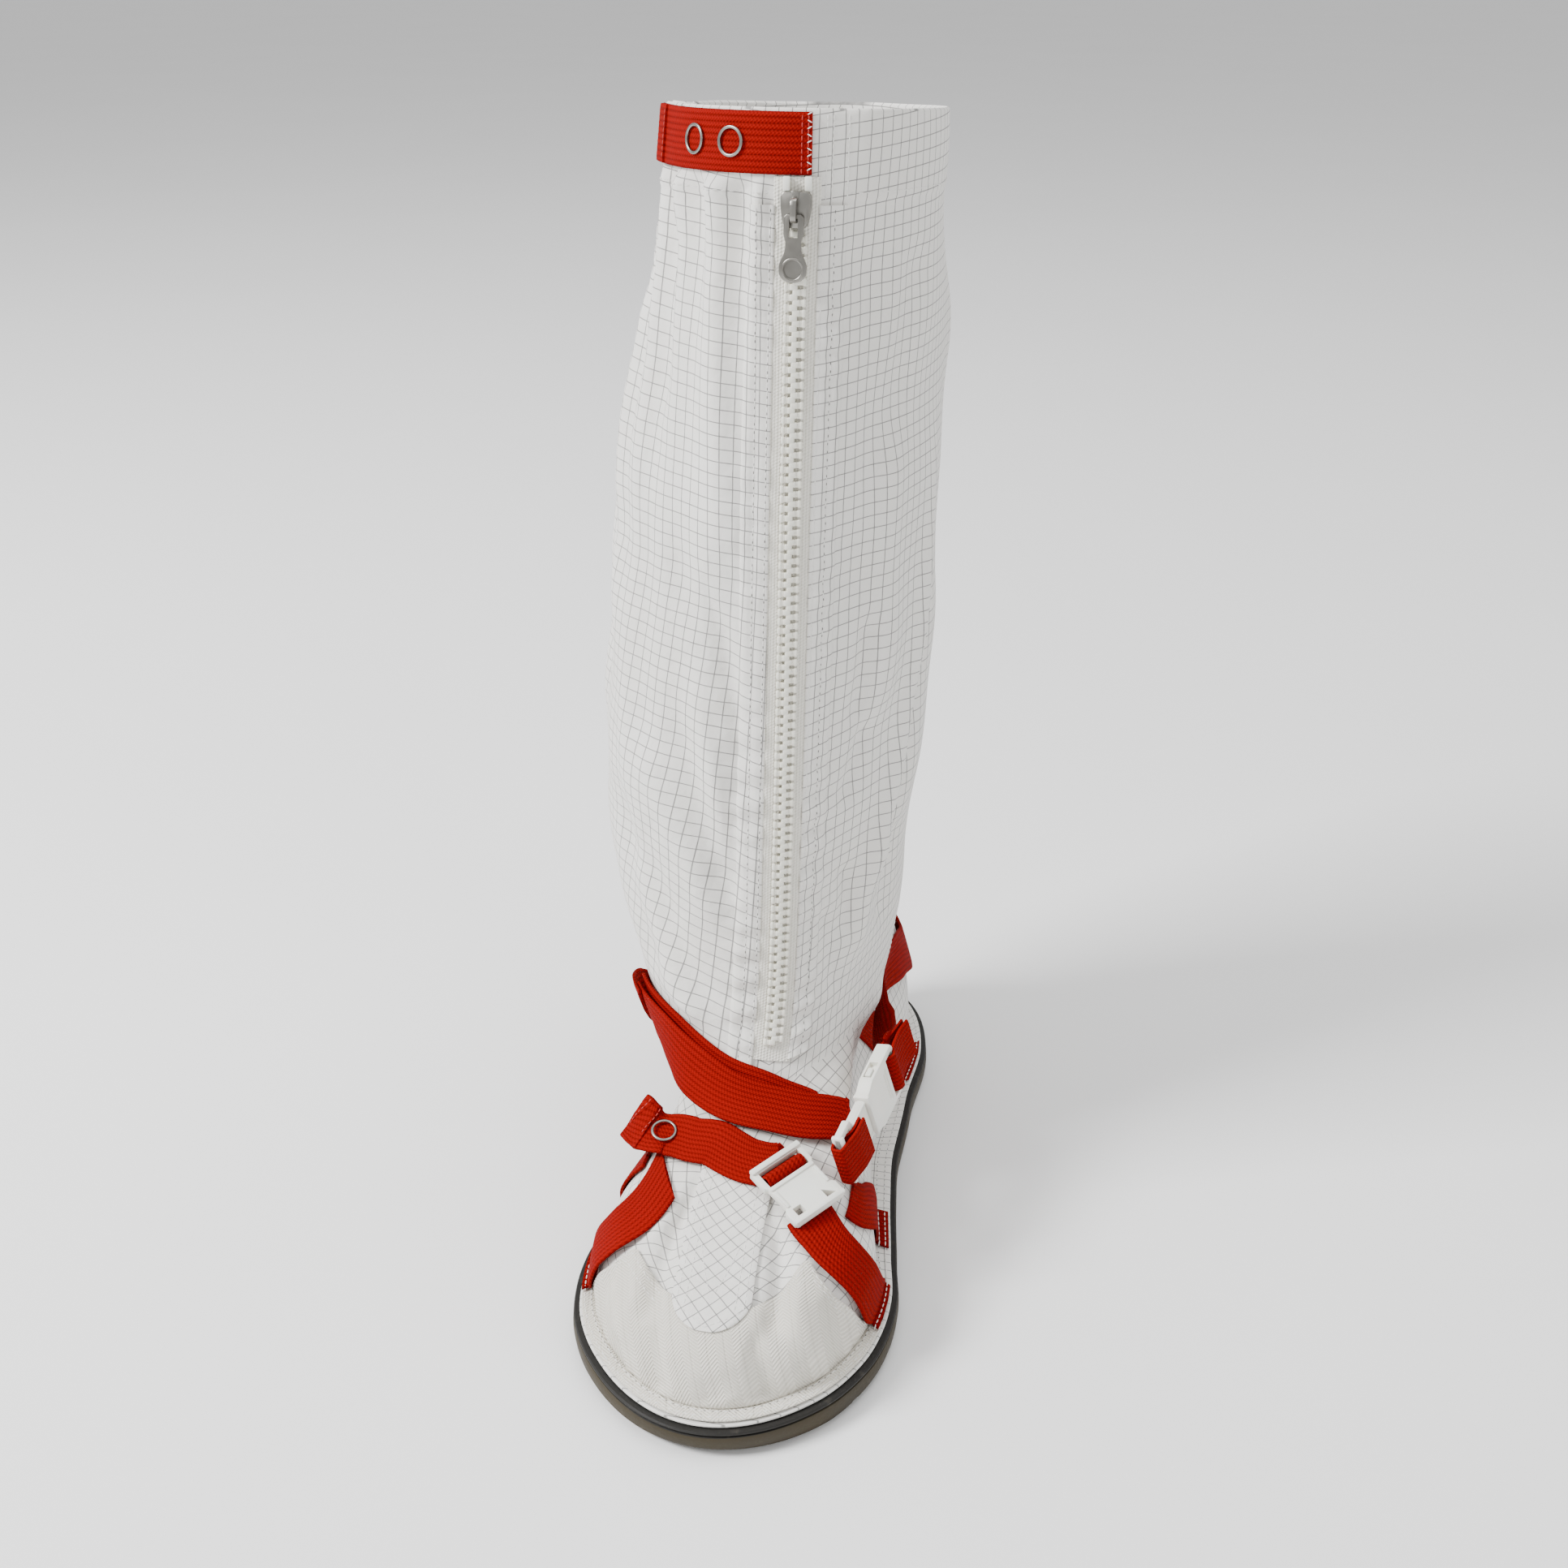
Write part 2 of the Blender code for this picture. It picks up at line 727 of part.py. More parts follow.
UNDER_LIFT = 0.85
OVER_LIFT = 3.1
OVER_CAP = CAP_LIFT + CAP_THICK + 1.0
BANDS = {
    "front_band_inner": [Stop(34, 5.2, 2.2), Stop(41, 4.3, 1.8), Stop(47, 3.0, OVER_CAP),
                         Stop(52, 1.4, OVER_CAP), Stop(57, 0.1, OVER_CAP), Stop(61, -0.9, OVER_CAP)],
    "mid_band_inner": [Stop(62, 3.15, UNDER_LIFT), Stop(66, 2.6, UNDER_LIFT), Stop(71, 1.8, UNDER_LIFT),
                       Stop(76, 0.2, 1.0), Stop(80, -0.9, UNDER_LIFT)],
    "heel_band_inner": [Stop(110, 2.6, UNDER_LIFT), Stop(117, 1.6, UNDER_LIFT), Stop(123, 0.2, 1.0),
                        Stop(127, -0.9, UNDER_LIFT)],
    "front_band_outer": [Stop(-41, 5.3, UNDER_LIFT), Stop(-43, 4.4, UNDER_LIFT), Stop(-46, 3.0, OVER_CAP),
                         Stop(-51, 1.2, OVER_CAP), Stop(-55, 0.1, OVER_CAP), Stop(-58, -0.9, OVER_CAP)],
    "mid_band_outer": [Stop(-63, 3.9, UNDER_LIFT), Stop(-66, 3.1, UNDER_LIFT), Stop(-69, 2.0, UNDER_LIFT),
                       Stop(-75, 0.2, 1.0), Stop(-78, -0.9, UNDER_LIFT)],
    "heel_band_outer": [Stop(-110, 2.6, UNDER_LIFT), Stop(-117, 1.6, UNDER_LIFT), Stop(-123, 0.2, 1.0),
                        Stop(-127, -0.9, UNDER_LIFT)],
}
for band, stops in BANDS.items():
    strap(band, stops, 2 * len(stops))

# Ankle strap: two layers across the front, and one run around the heel
ANKLE_OVER = [Stop(58, 5.75, 3.7), Stop(49, 6.4, 2.9), Stop(36, 7.0, OVER_LIFT),
              Stop(14, 7.62, OVER_LIFT), Stop(-8, 7.88, OVER_LIFT), Stop(-24, 8.05, OVER_LIFT),
              Stop(-40, 8.25, 3.4), Stop(-55.5, 8.2, 4.4)]
ANKLE_UNDER = [Stop(36, 7.08, UNDER_LIFT), Stop(28, 7.42, UNDER_LIFT), Stop(8, 7.94, UNDER_LIFT),
               Stop(-12, 8.14, UNDER_LIFT), Stop(-35, 8.38, UNDER_LIFT), Stop(-54, 8.4, 1.6)]
ANKLE_BACK = [Stop(-64, 8.0, 2.6), Stop(-80, 7.1, 1.4), Stop(-100, 5.7, 1.0),
              Stop(-124, 4.3, 1.0), Stop(-150, 3.3, 1.4), Stop(-180, 2.75, 2.0),
              Stop(-210, 2.7, 2.2), Stop(-230, 3.6, 3.2), Stop(-248, 4.7, 5.5),
              Stop(-264, 5.5, 8.0), Stop(-278, 6.1, 11.0), Stop(-291.5, 6.5, 13.4)]
strap("ankle_strap_over", ANKLE_OVER, 20)
strap("ankle_strap_under", ANKLE_UNDER, 20)
strap("ankle_strap_back", ANKLE_BACK, 30)
HEEL_LOOP = [Stop(180, 1.3, UNDER_LIFT), Stop(180, 1.75, 2.6), Stop(180, 2.15, 4.0), Stop(180, 2.8, 4.2),
             Stop(180, 3.4, 4.0), Stop(180, 3.8, 2.6), Stop(180, 4.3, UNDER_LIFT)]
strap("heel_loop", HEEL_LOOP, 13, width=16.0)

INSTEP = [Stop(21, 6.5, 2.0), Stop(6, 6.72, 2.0), Stop(-12, 6.86, 2.0), Stop(-32, 6.4, 2.2),
          Stop(-44, 5.85, 3.0), Stop(-54, 5.1, 7.0), Stop(-63, 4.3, 14.0)]
strap("instep_strap", INSTEP, 17)


# Snap rings on the straps
SNAP_OUTER = 5.4
SNAP_INNER = 4.2
SNAP_THICK = 0.9


def strap_frame(stops, turn, seat):
    """Matrix on a strap's outer face: X runs along the strap, Y across it and Z outwards."""
    path = route(stops, 200)
    i = min(range(1, 199), key=lambda k: abs(path[k].turn - turn))
    here = path[i]
    along = (surface(*path[i + 1]) - surface(*path[i - 1])).normalized()
    across = surface_normal(here.turn, here.row).cross(along).normalized()
    out = along.cross(across)
    made = Matrix((along, across, out)).transposed().to_4x4()
    made.translation = surface(*here) + out * (WEB_THICK + seat)
    return made


def snap_ring(name, stops, turn, seat=0.5, steps=18):
    """Open metal ring that lies on a strap at the given turn."""
    frame = strap_frame(stops, turn, seat)
    mesh = bmesh.new()
    loops = []
    for radius, z in ((SNAP_INNER, 0), (SNAP_OUTER, 0), (SNAP_OUTER, SNAP_THICK), (SNAP_INNER, SNAP_THICK)):
        loops.append([(radius * math.cos(a), radius * math.sin(a), z) for a in ring_angles(steps)])
    made = skin(mesh, loops)
    for i in range(steps):
        j = (i + 1) % steps
        mesh.faces.new((made[-1][i], made[-1][j], made[0][j], made[0][i]))
    bmesh.ops.transform(mesh, matrix=frame, verts=mesh.verts)
    return finish(name, mesh, NICKEL)


snap_ring("collar_ring_front", COLLAR, -18)
snap_ring("collar_ring_side", COLLAR, -36)
snap_ring("instep_ring", INSTEP, -49, seat=1.1)


# Buckles
def toward(turn_a, row_a, turn_b, row_b):
    return surface(turn_b, row_b) - surface(turn_a, row_a)


def buckle_piece(name, frame, outline, low, high, holes):
    mesh = bmesh.new()
    outline_solid(mesh, outline, low, high)
    bmesh.ops.transform(mesh, matrix=frame, verts=mesh.verts)
    made = finish(name, mesh, IVORY)
    for i, (x0, y0, x1, y1) in enumerate(holes):
        cutter = hidden_cutter(f"{name}_hole_{i}", (x0, y0, low - 1), (x1, y1, high + 1), frame)
        join_or_cut(made, cutter, "DIFFERENCE")
    return made


INSTEP_OUTLINE = [(-14.5, 12.5), (-4.5, 12.5), (-3.0, 11.0), (7.0, 11.0), (9.0, 12.8), (14.5, 12.8),
                  (15.5, 11.6)]
INSTEP_FRAME = local_frame(29, 5.85, 4.2, toward(20, 6.45, 38, 5.1))
buckle_piece("instep_buckle", INSTEP_FRAME, mirrored(INSTEP_OUTLINE), 0.0, 3.4,
             [(-11.8, -10.0, -4.0, 10.0), (8.8, 5.5, 12.6, 9.5), (8.8, -9.5, 12.6, -5.5)])

# The ankle buckle stands almost upright beside the foot, pulled taut between its webs
ANKLE_BUCKLE_CENTRE = Vector((39.3, from_toe_to_y(128), 71.8))
ANKLE_BUCKLE_AHEAD = Vector((-9.8, -55.0, -10.5))
ANKLE_BUCKLE_OUT = Vector((0.96, -0.12, 0.22))


def free_frame(centre, ahead, out):
    """Matrix whose X runs ahead, Y across and Z outwards, at a point off the upper."""
    along = ahead.normalized()
    normal = (out - along * out.dot(along)).normalized()
    made = Matrix((along, normal.cross(along), normal)).transposed().to_4x4()
    made.translation = centre
    return made


ANKLE_FRAME = free_frame(ANKLE_BUCKLE_CENTRE, ANKLE_BUCKLE_AHEAD, ANKLE_BUCKLE_OUT)
buckle_piece("ankle_buckle_socket", ANKLE_FRAME,
             mirrored([(-28.0, 11.0), (-26.5, 12.5), (-4.0, 12.5), (0.0, 10.5), (3.0, 10.5)]),
             -3.2, 3.2, [(-25.6, -10.0, -19.0, 10.0)])
buckle_piece("ankle_buckle_tongue", ANKLE_FRAME,
             mirrored([(3.5, 9.0), (17.0, 9.0), (18.0, 12.5), (29.0, 12.5)]),
             -1.6, 1.6, [(20.5, -10.0, 26.0, 10.0)])

# The shaft leans outwards over the foot, so the whole boot moves to centre its box
BOX_SHIFT = 17.0
for made in bpy.data.objects:
    made.location.x += BOX_SHIFT * MM
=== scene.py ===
"""Looks of the knee-high cleanroom boot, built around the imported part.

Sizes and tables are in millimetres in the part's own layout: toe towards -Y, inner side
towards +X, the sole's middle at x = 0. A piece is scaled and moved once, when it is placed.
"""

import json
import math
from collections import namedtuple

import bmesh
import bpy
import numpy as np
from mathutils import Matrix, Vector

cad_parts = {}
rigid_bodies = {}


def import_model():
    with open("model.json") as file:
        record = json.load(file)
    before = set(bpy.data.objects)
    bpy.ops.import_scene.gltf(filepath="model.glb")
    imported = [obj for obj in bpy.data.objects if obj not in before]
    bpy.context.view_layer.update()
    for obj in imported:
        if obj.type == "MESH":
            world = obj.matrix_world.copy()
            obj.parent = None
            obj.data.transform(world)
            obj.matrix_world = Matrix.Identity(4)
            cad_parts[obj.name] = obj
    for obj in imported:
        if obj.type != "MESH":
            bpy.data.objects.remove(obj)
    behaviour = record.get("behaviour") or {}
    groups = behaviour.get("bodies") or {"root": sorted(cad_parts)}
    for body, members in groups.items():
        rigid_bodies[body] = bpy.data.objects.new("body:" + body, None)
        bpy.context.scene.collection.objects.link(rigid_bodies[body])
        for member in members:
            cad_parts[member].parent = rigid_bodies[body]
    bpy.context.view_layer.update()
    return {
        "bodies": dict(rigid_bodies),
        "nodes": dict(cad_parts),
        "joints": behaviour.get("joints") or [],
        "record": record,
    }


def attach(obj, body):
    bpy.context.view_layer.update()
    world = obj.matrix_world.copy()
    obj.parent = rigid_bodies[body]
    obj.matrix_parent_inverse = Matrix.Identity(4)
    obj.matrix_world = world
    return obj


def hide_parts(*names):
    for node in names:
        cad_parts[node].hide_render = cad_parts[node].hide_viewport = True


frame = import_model()

MM = 0.001
BOX_SHIFT = 17.0
# Small step, in radians or rows, over which a direction is measured
STEP = 0.02

# Form of the sole and the upper, as in the part
SOLE_LENGTH = 318.0
HALF_SOLE = SOLE_LENGTH / 2
SOLE_THICK = 12.0
TOE_RADIUS = 46.0
HEEL_RADIUS = 47.0
WALL = 1.5
HEM_ROW = 16.3
HEM_BLEND = 0.035
HEM_STEP = 0.6
EDGE_INSET = 3.2
FLANGE_TOP = 13.9
ROOT_INSET = 1.2
SEAM_EDGE = -0.93
WEB_WIDTH = 21.0
WEB_THICK = 1.3
CAP_LIFT = 1.05
CAP_THICK = 0.8
SHAFT_ROW = 8.0
SOLE_ROWS = [(25, 47.0, -3.5), (45, 59.5, -4.5), (65, 65.0, -5.0), (85, 66.0, -5.5), (110, 62.0, -6.0),
             (145, 56.0, -6.0), (180, 51.0, -5.0), (215, 48.5, -3.0), (258, 47.5, -1.0)]
# Rings of the upper: front, front_z, back, back_z, follow, trim, half_width, centre
UPPER_ROWS = [
    (11.0, 13.9, 307, 13.9, 1.00, 12, 50, -5),
    (11.0, 21, 309, 27, 1.00, 12, 50, -5),
    (13.5, 31, 310, 45, 1.00, 14, 48, -5),
    (20.0, 39, 309, 62, 0.95, 20, 44, -5),
    (33.0, 45, 307, 76, 0.85, 27, 41, -5),
    (53.0, 50, 305, 88, 0.65, 31, 40, -6),
    (77.0, 56, 303, 99, 0.40, 33, 39, -7),
    (101.0, 65, 301, 110, 0.15, 30, 42, -10),
    (121.0, 79, 300, 122, 0.00, 20, 50, -16),
    (134.0, 103, 300, 139, 0.00, 20, 57, -22),
    (141.0, 131, 302, 160, 0.00, 20, 63, -26),
    (146.0, 162, 304, 186, 0.00, 20, 67, -27),
    (152.0, 205, 307, 222, 0.00, 20, 69, -26),
    (158.0, 255, 310, 265, 0.00, 20, 67.5, -24),
    (164.0, 310, 311, 316, 0.00, 20, 64, -21.5),
    (171.0, 365, 311, 366, 0.00, 20, 59, -16.5),
    (177.0, 410, 309, 406, 0.00, 20, 53.5, -12),
    (182.0, 454, 304, 444, 0.00, 20, 50, -10.5),
]
LAST_ROW = len(UPPER_ROWS) - 1.0
UPWARDS = np.array((0.0, 0.0, 1.0))
CAP_ROWS = [(-53, -0.35), (-49, 0.6), (-42, 2.2), (-35, 3.7), (-24, 3.75), (-14, 3.75), (0, 3.8), (14, 3.75),
            (24, 3.9), (33, 4.2), (41, 2.6), (50, 0.6), (55, -0.35)]


def smooth_curve(xs, ys):
    """Function of an array: the smooth curve through the points, which never overshoots."""
    xs = np.array(xs, float)
    ys = np.array(ys, float)
    secants = np.diff(ys) / np.diff(xs)
    slopes = np.zeros(len(xs))
    slopes[0] = secants[0]
    slopes[-1] = secants[-1]
    product = secants[:-1] * secants[1:]
    total = secants[:-1] + secants[1:]
    slopes[1:-1] = np.where(product > 0, 2 * product / np.where(product > 0, total, 1.0), 0.0)

    def value(x):
        x = np.clip(x, xs[0], xs[-1])
        i = np.clip(np.searchsorted(xs, x, side="right") - 1, 0, len(xs) - 2)
        span = xs[i + 1] - xs[i]
        t = (x - xs[i]) / span
        return ((2 * t ** 3 - 3 * t ** 2 + 1) * ys[i] + (t ** 3 - 2 * t ** 2 + t) * span * slopes[i]
                + (3 * t ** 2 - 2 * t ** 3) * ys[i + 1] + (t ** 3 - t ** 2) * span * slopes[i + 1])

    return value


def unit(vectors):
    return vectors / np.maximum(np.linalg.norm(vectors, axis=-1, keepdims=True), 1e-12)


def ease(t):
    """0 below 0, 1 above 1 and smooth between."""
    t = np.clip(t, 0.0, 1.0)
    return t * t * (3 - 2 * t)


FULL_ANGLES = [0.0] + [math.acos(1 - row[0] / HALF_SOLE) for row in SOLE_ROWS] + [math.pi]
FULL_VALUES = ([math.sqrt(TOE_RADIUS * HALF_SOLE)]
               + [row[1] / math.sin(math.acos(1 - row[0] / HALF_SOLE)) for row in SOLE_ROWS]
               + [math.sqrt(HEEL_RADIUS * HALF_SOLE)])
full_curve = smooth_curve(FULL_ANGLES, FULL_VALUES)
centre_curve = smooth_curve([row[0] for row in SOLE_ROWS], [row[2] for row in SOLE_ROWS])
ring_curves = [smooth_curve(range(len(UPPER_ROWS)), column) for column in zip(*UPPER_ROWS)]
cap_top = smooth_curve([row[0] for row in CAP_ROWS], [row[1] for row in CAP_ROWS])


def fullness(angle):
    return full_curve(np.abs((angle + np.pi) % (2 * np.pi) - np.pi))


def middle(from_toe):
    heel = SOLE_ROWS[-1][2] * np.maximum(0.0, (SOLE_LENGTH - from_toe) / (SOLE_LENGTH - 258))
    return np.where(from_toe > 258, heel, centre_curve(from_toe))


def sole_edge(angle, inset=0.0, z=0.0):
    """Points of the sole's outline, moved inwards along their own normals."""
    def raw(a):
        from_toe = HALF_SOLE * (1 - np.cos(a))
        x = middle(from_toe) + fullness(a) * np.sin(a)
        return np.stack([x, from_toe - HALF_SOLE, np.zeros_like(x)], -1)

    ahead = unit(raw(angle + 0.01) - raw(angle - 0.01))
    inwards = np.stack([-ahead[..., 1], ahead[..., 0], np.zeros_like(ahead[..., 0])], -1)
    made = raw(angle) + inwards * inset
    made[..., 2] = z
    return made


def wall(angle, v):
    angle, v = np.broadcast_arrays(np.asarray(angle, float), np.asarray(v, float))
    front, front_z, back, back_z, follow, trim, half, centre = (curve(v) for curve in ring_curves)
    share = (1 - np.cos(angle)) / 2
    round_part = half * (1 + 0.06 * np.sin(angle) ** 2 * np.cos(angle) ** 2)
    width = follow * (fullness(angle) - trim) + (1 - follow) * round_part
    mid = follow * middle(SOLE_LENGTH * share) + (1 - follow) * centre
    return np.stack([mid + width * np.sin(angle), front + (back - front) * share - HALF_SOLE,
                     front_z + (back_z - front_z) * share], -1)


def wall_normal(angle, v):
    around = wall(angle + STEP, v) - wall(angle - STEP, v)
    upward = wall(angle, np.minimum(v + STEP, LAST_ROW)) - wall(angle, np.maximum(v - STEP, 0.0))
    return unit(np.cross(around, upward))


def form(angle, v):
    """The plain form; v from -1 to 0 crosses the sewn flange from its edge inwards."""
    angle, v = np.broadcast_arrays(np.asarray(angle, float), np.asarray(v, float))
    share = np.clip(-v, 0.0, 1.0)[..., None]
    above = wall(angle, np.clip(v, 0.0, LAST_ROW))
    return above * (1 - share) + sole_edge(angle, EDGE_INSET, FLANGE_TOP) * share


def outward(angle, v):
    """Outward direction, smoothed over the corner between flange and wall."""
    angle, v = np.broadcast_arrays(np.asarray(angle, float), np.asarray(v, float))
    share = np.clip(0.5 - v, 0.0, 1.0)[..., None]
    above = wall_normal(angle, np.clip(v, 0.0, LAST_ROW))
    return unit(above * (1 - share) + UPWARDS * share)


# Lengths around each ring, measured from the line of the zip
ZIP_X = -3.0
TABLE_ROWS = np.linspace(0.0, LAST_ROW, 137)
TABLE_ANGLES = np.radians(np.linspace(-180, 180, 361))
table_points = wall(TABLE_ANGLES[None, :], TABLE_ROWS[:, None])
table_steps = np.linalg.norm(np.diff(table_points, axis=1), axis=-1)
ARC = np.concatenate([np.zeros((len(TABLE_ROWS), 1)), np.cumsum(table_steps, axis=1)], axis=1)
for r in range(len(TABLE_ROWS)):
    ARC[r] -= np.interp(ZIP_X, table_points[r, 120:241, 0], ARC[r, 120:241])


def from_table(table, angle, v):
    rows = np.clip(v / LAST_ROW * (len(TABLE_ROWS) - 1), 0, len(TABLE_ROWS) - 1.001)
    columns = np.clip((np.degrees(angle) + 180), 0, 359.999)
    i = rows.astype(int)
    j = columns.astype(int)
    a = rows - i
    b = columns - j
    low = table[i, j] * (1 - b) + table[i, j + 1] * b
    high = table[i + 1, j] * (1 - b) + table[i + 1, j + 1] * b
    return low * (1 - a) + high * a


def zip_arc(angle, v):
    """Length around the boot from the zip's line, positive towards the inner side."""
    folded = (angle + np.pi) % (2 * np.pi) - np.pi
    folded = np.where((folded <= -np.pi + 1e-9) & (angle > 0), np.pi, folded)
    return from_table(ARC, folded, v)


def angle_at(arc, v):
    """Angle at which each row v lies a length from the zip's line."""
    arc, v = np.broadcast_arrays(np.asarray(arc, float), np.asarray(v, float))
    found = []
    for a, row in zip(arc.ravel(), v.ravel()):
        place = min(max(row / LAST_ROW * (len(TABLE_ROWS) - 1), 0), len(TABLE_ROWS) - 1.001)
        i = int(place)
        lengths = ARC[i] * (1 - place + i) + ARC[i + 1] * (place - i)
        found.append(np.interp(a, lengths, TABLE_ANGLES))
    return np.array(found).reshape(arc.shape)


# Straps: stops of (turn in degrees, row, lift), as in the part
UNDER = 0.85
OVER = 3.1
ON_CAP = CAP_LIFT + CAP_THICK + 1.0
COLLAR = [(14, 16.75, 0.5), (-10, 16.75, 0.5), (-36, 16.75, 0.6), (-58, 16.75, 1.4), (-72, 16.75, 4.0)]
ANKLE_OVER = [(58, 5.75, 3.7), (49, 6.4, 2.9), (36, 7.0, OVER), (14, 7.62, OVER), (-8, 7.88, OVER),
              (-24, 8.05, OVER), (-40, 8.25, 3.4), (-55.5, 8.2, 4.4)]
ANKLE_UNDER = [(36, 7.08, UNDER), (28, 7.42, UNDER), (8, 7.94, UNDER), (-12, 8.14, UNDER),
               (-35, 8.38, UNDER), (-54, 8.4, 1.6)]
ANKLE_BACK = [(-64, 8, 2.6), (-80, 7.1, 1.4), (-100, 5.7, 1.0), (-124, 4.3, 1.0), (-150, 3.3, 1.4),
              (-180, 2.75, 2.0), (-210, 2.7, 2.2), (-230, 3.6, 3.2), (-248, 4.7, 5.5), (-264, 5.5, 8.0),
              (-278, 6.1, 11.0), (-291.5, 6.5, 13.4)]
HEEL_LOOP = [(180, 1.3, UNDER), (180, 1.75, 2.6), (180, 2.15, 4.0), (180, 2.8, 4.2), (180, 3.4, 4.0),
             (180, 3.8, 2.6), (180, 4.3, UNDER)]
INSTEP = [(21, 6.5, 2.0), (6, 6.72, 2.0), (-12, 6.86, 2.0), (-32, 6.4, 2.2), (-44, 5.85, 3.0),
          (-54, 5.1, 7.0), (-63, 4.3, 14.0)]
HEEL_BAND = [(102, 4.6, -0.3), (106, 3.6, 0.5), (110, 2.6, UNDER), (117, 1.6, UNDER), (123, 0.2, 1.0),
             (124, -0.9, UNDER)]
BANDS = {
    "front_band_inner": [(34, 5.2, 2.2), (41, 4.3, 1.8), (47, 3.0, ON_CAP), (52, 1.4, ON_CAP),
                         (57, 0.1, ON_CAP), (57.5, -0.9, ON_CAP)],
    "mid_band_inner": [(57.5, 3.9, 0.6), (62, 3.15, UNDER), (66, 2.6, UNDER), (71, 1.8, UNDER),
                       (76, 0.2, 1.0), (76.8, -0.9, UNDER)],
    "heel_band_inner": HEEL_BAND,
    "front_band_outer": [(-41, 5.3, UNDER), (-43, 4.4, UNDER), (-46, 3.0, ON_CAP), (-51, 1.2, ON_CAP),
                         (-55, 0.1, ON_CAP), (-55.5, -0.9, ON_CAP)],
    "mid_band_outer": [(-63, 3.9, UNDER), (-66, 3.1, UNDER), (-69, 2.0, UNDER), (-75, 0.2, 1.0),
                       (-75.6, -0.9, UNDER)],
    "heel_band_outer": [(-turn, row, lift) for turn, row, lift in HEEL_BAND],
}
VAMP_STRIP = [(0, 3.2, 2.1), (0, 3.9, 1.9), (-1, 4.7, 0.7), (-2, 5.7, 0.6), (0, 6.75, 0.6)]
STRIP_WIDTH = 30.0


# Start and end of a whole route, as shares of its length
WHOLE = (0.0, 1.0)


def route(stops, count, share=WHOLE, ahead=0.0):
    """Angles, rows and lifts of evenly spaced stops on the smooth curve through the given ones."""
    at = np.linspace(share[0], share[1], count) * (len(stops) - 1) + ahead
    turn, row, lift = (smooth_curve(range(len(stops)), column)(at) for column in zip(*stops))
    return np.radians(turn), row, lift


def route_points(stops, count=24):
    angle, row, lift = route(stops, count)
    return form(angle, row) + outward(angle, row) * lift[:, None]


def along_line(point, line, reach):
    """Distance to a line of points, and the share of the line at which it is that near."""
    distance = np.full(point.shape[:-1], 1e6)
    place = np.zeros(point.shape[:-1])
    near = np.all((point > line.min(0) - reach) & (point < line.max(0) + reach), axis=-1)
    if near.any():
        here = point[near]
        best = np.full(len(here), 1e12)
        at = np.zeros(len(here))
        for i, (a, b) in enumerate(zip(line, line[1:])):
            run = b - a
            t = np.clip((here - a) @ run / (run @ run), 0, 1)
            gap = np.sum((here - a - t[:, None] * run) ** 2, -1)
            closer = gap < best
            best = np.where(closer, gap, best)
            at = np.where(closer, (i + t) / (len(line) - 1), at)
        distance[near] = np.sqrt(best)
        place[near] = at
    return distance, place


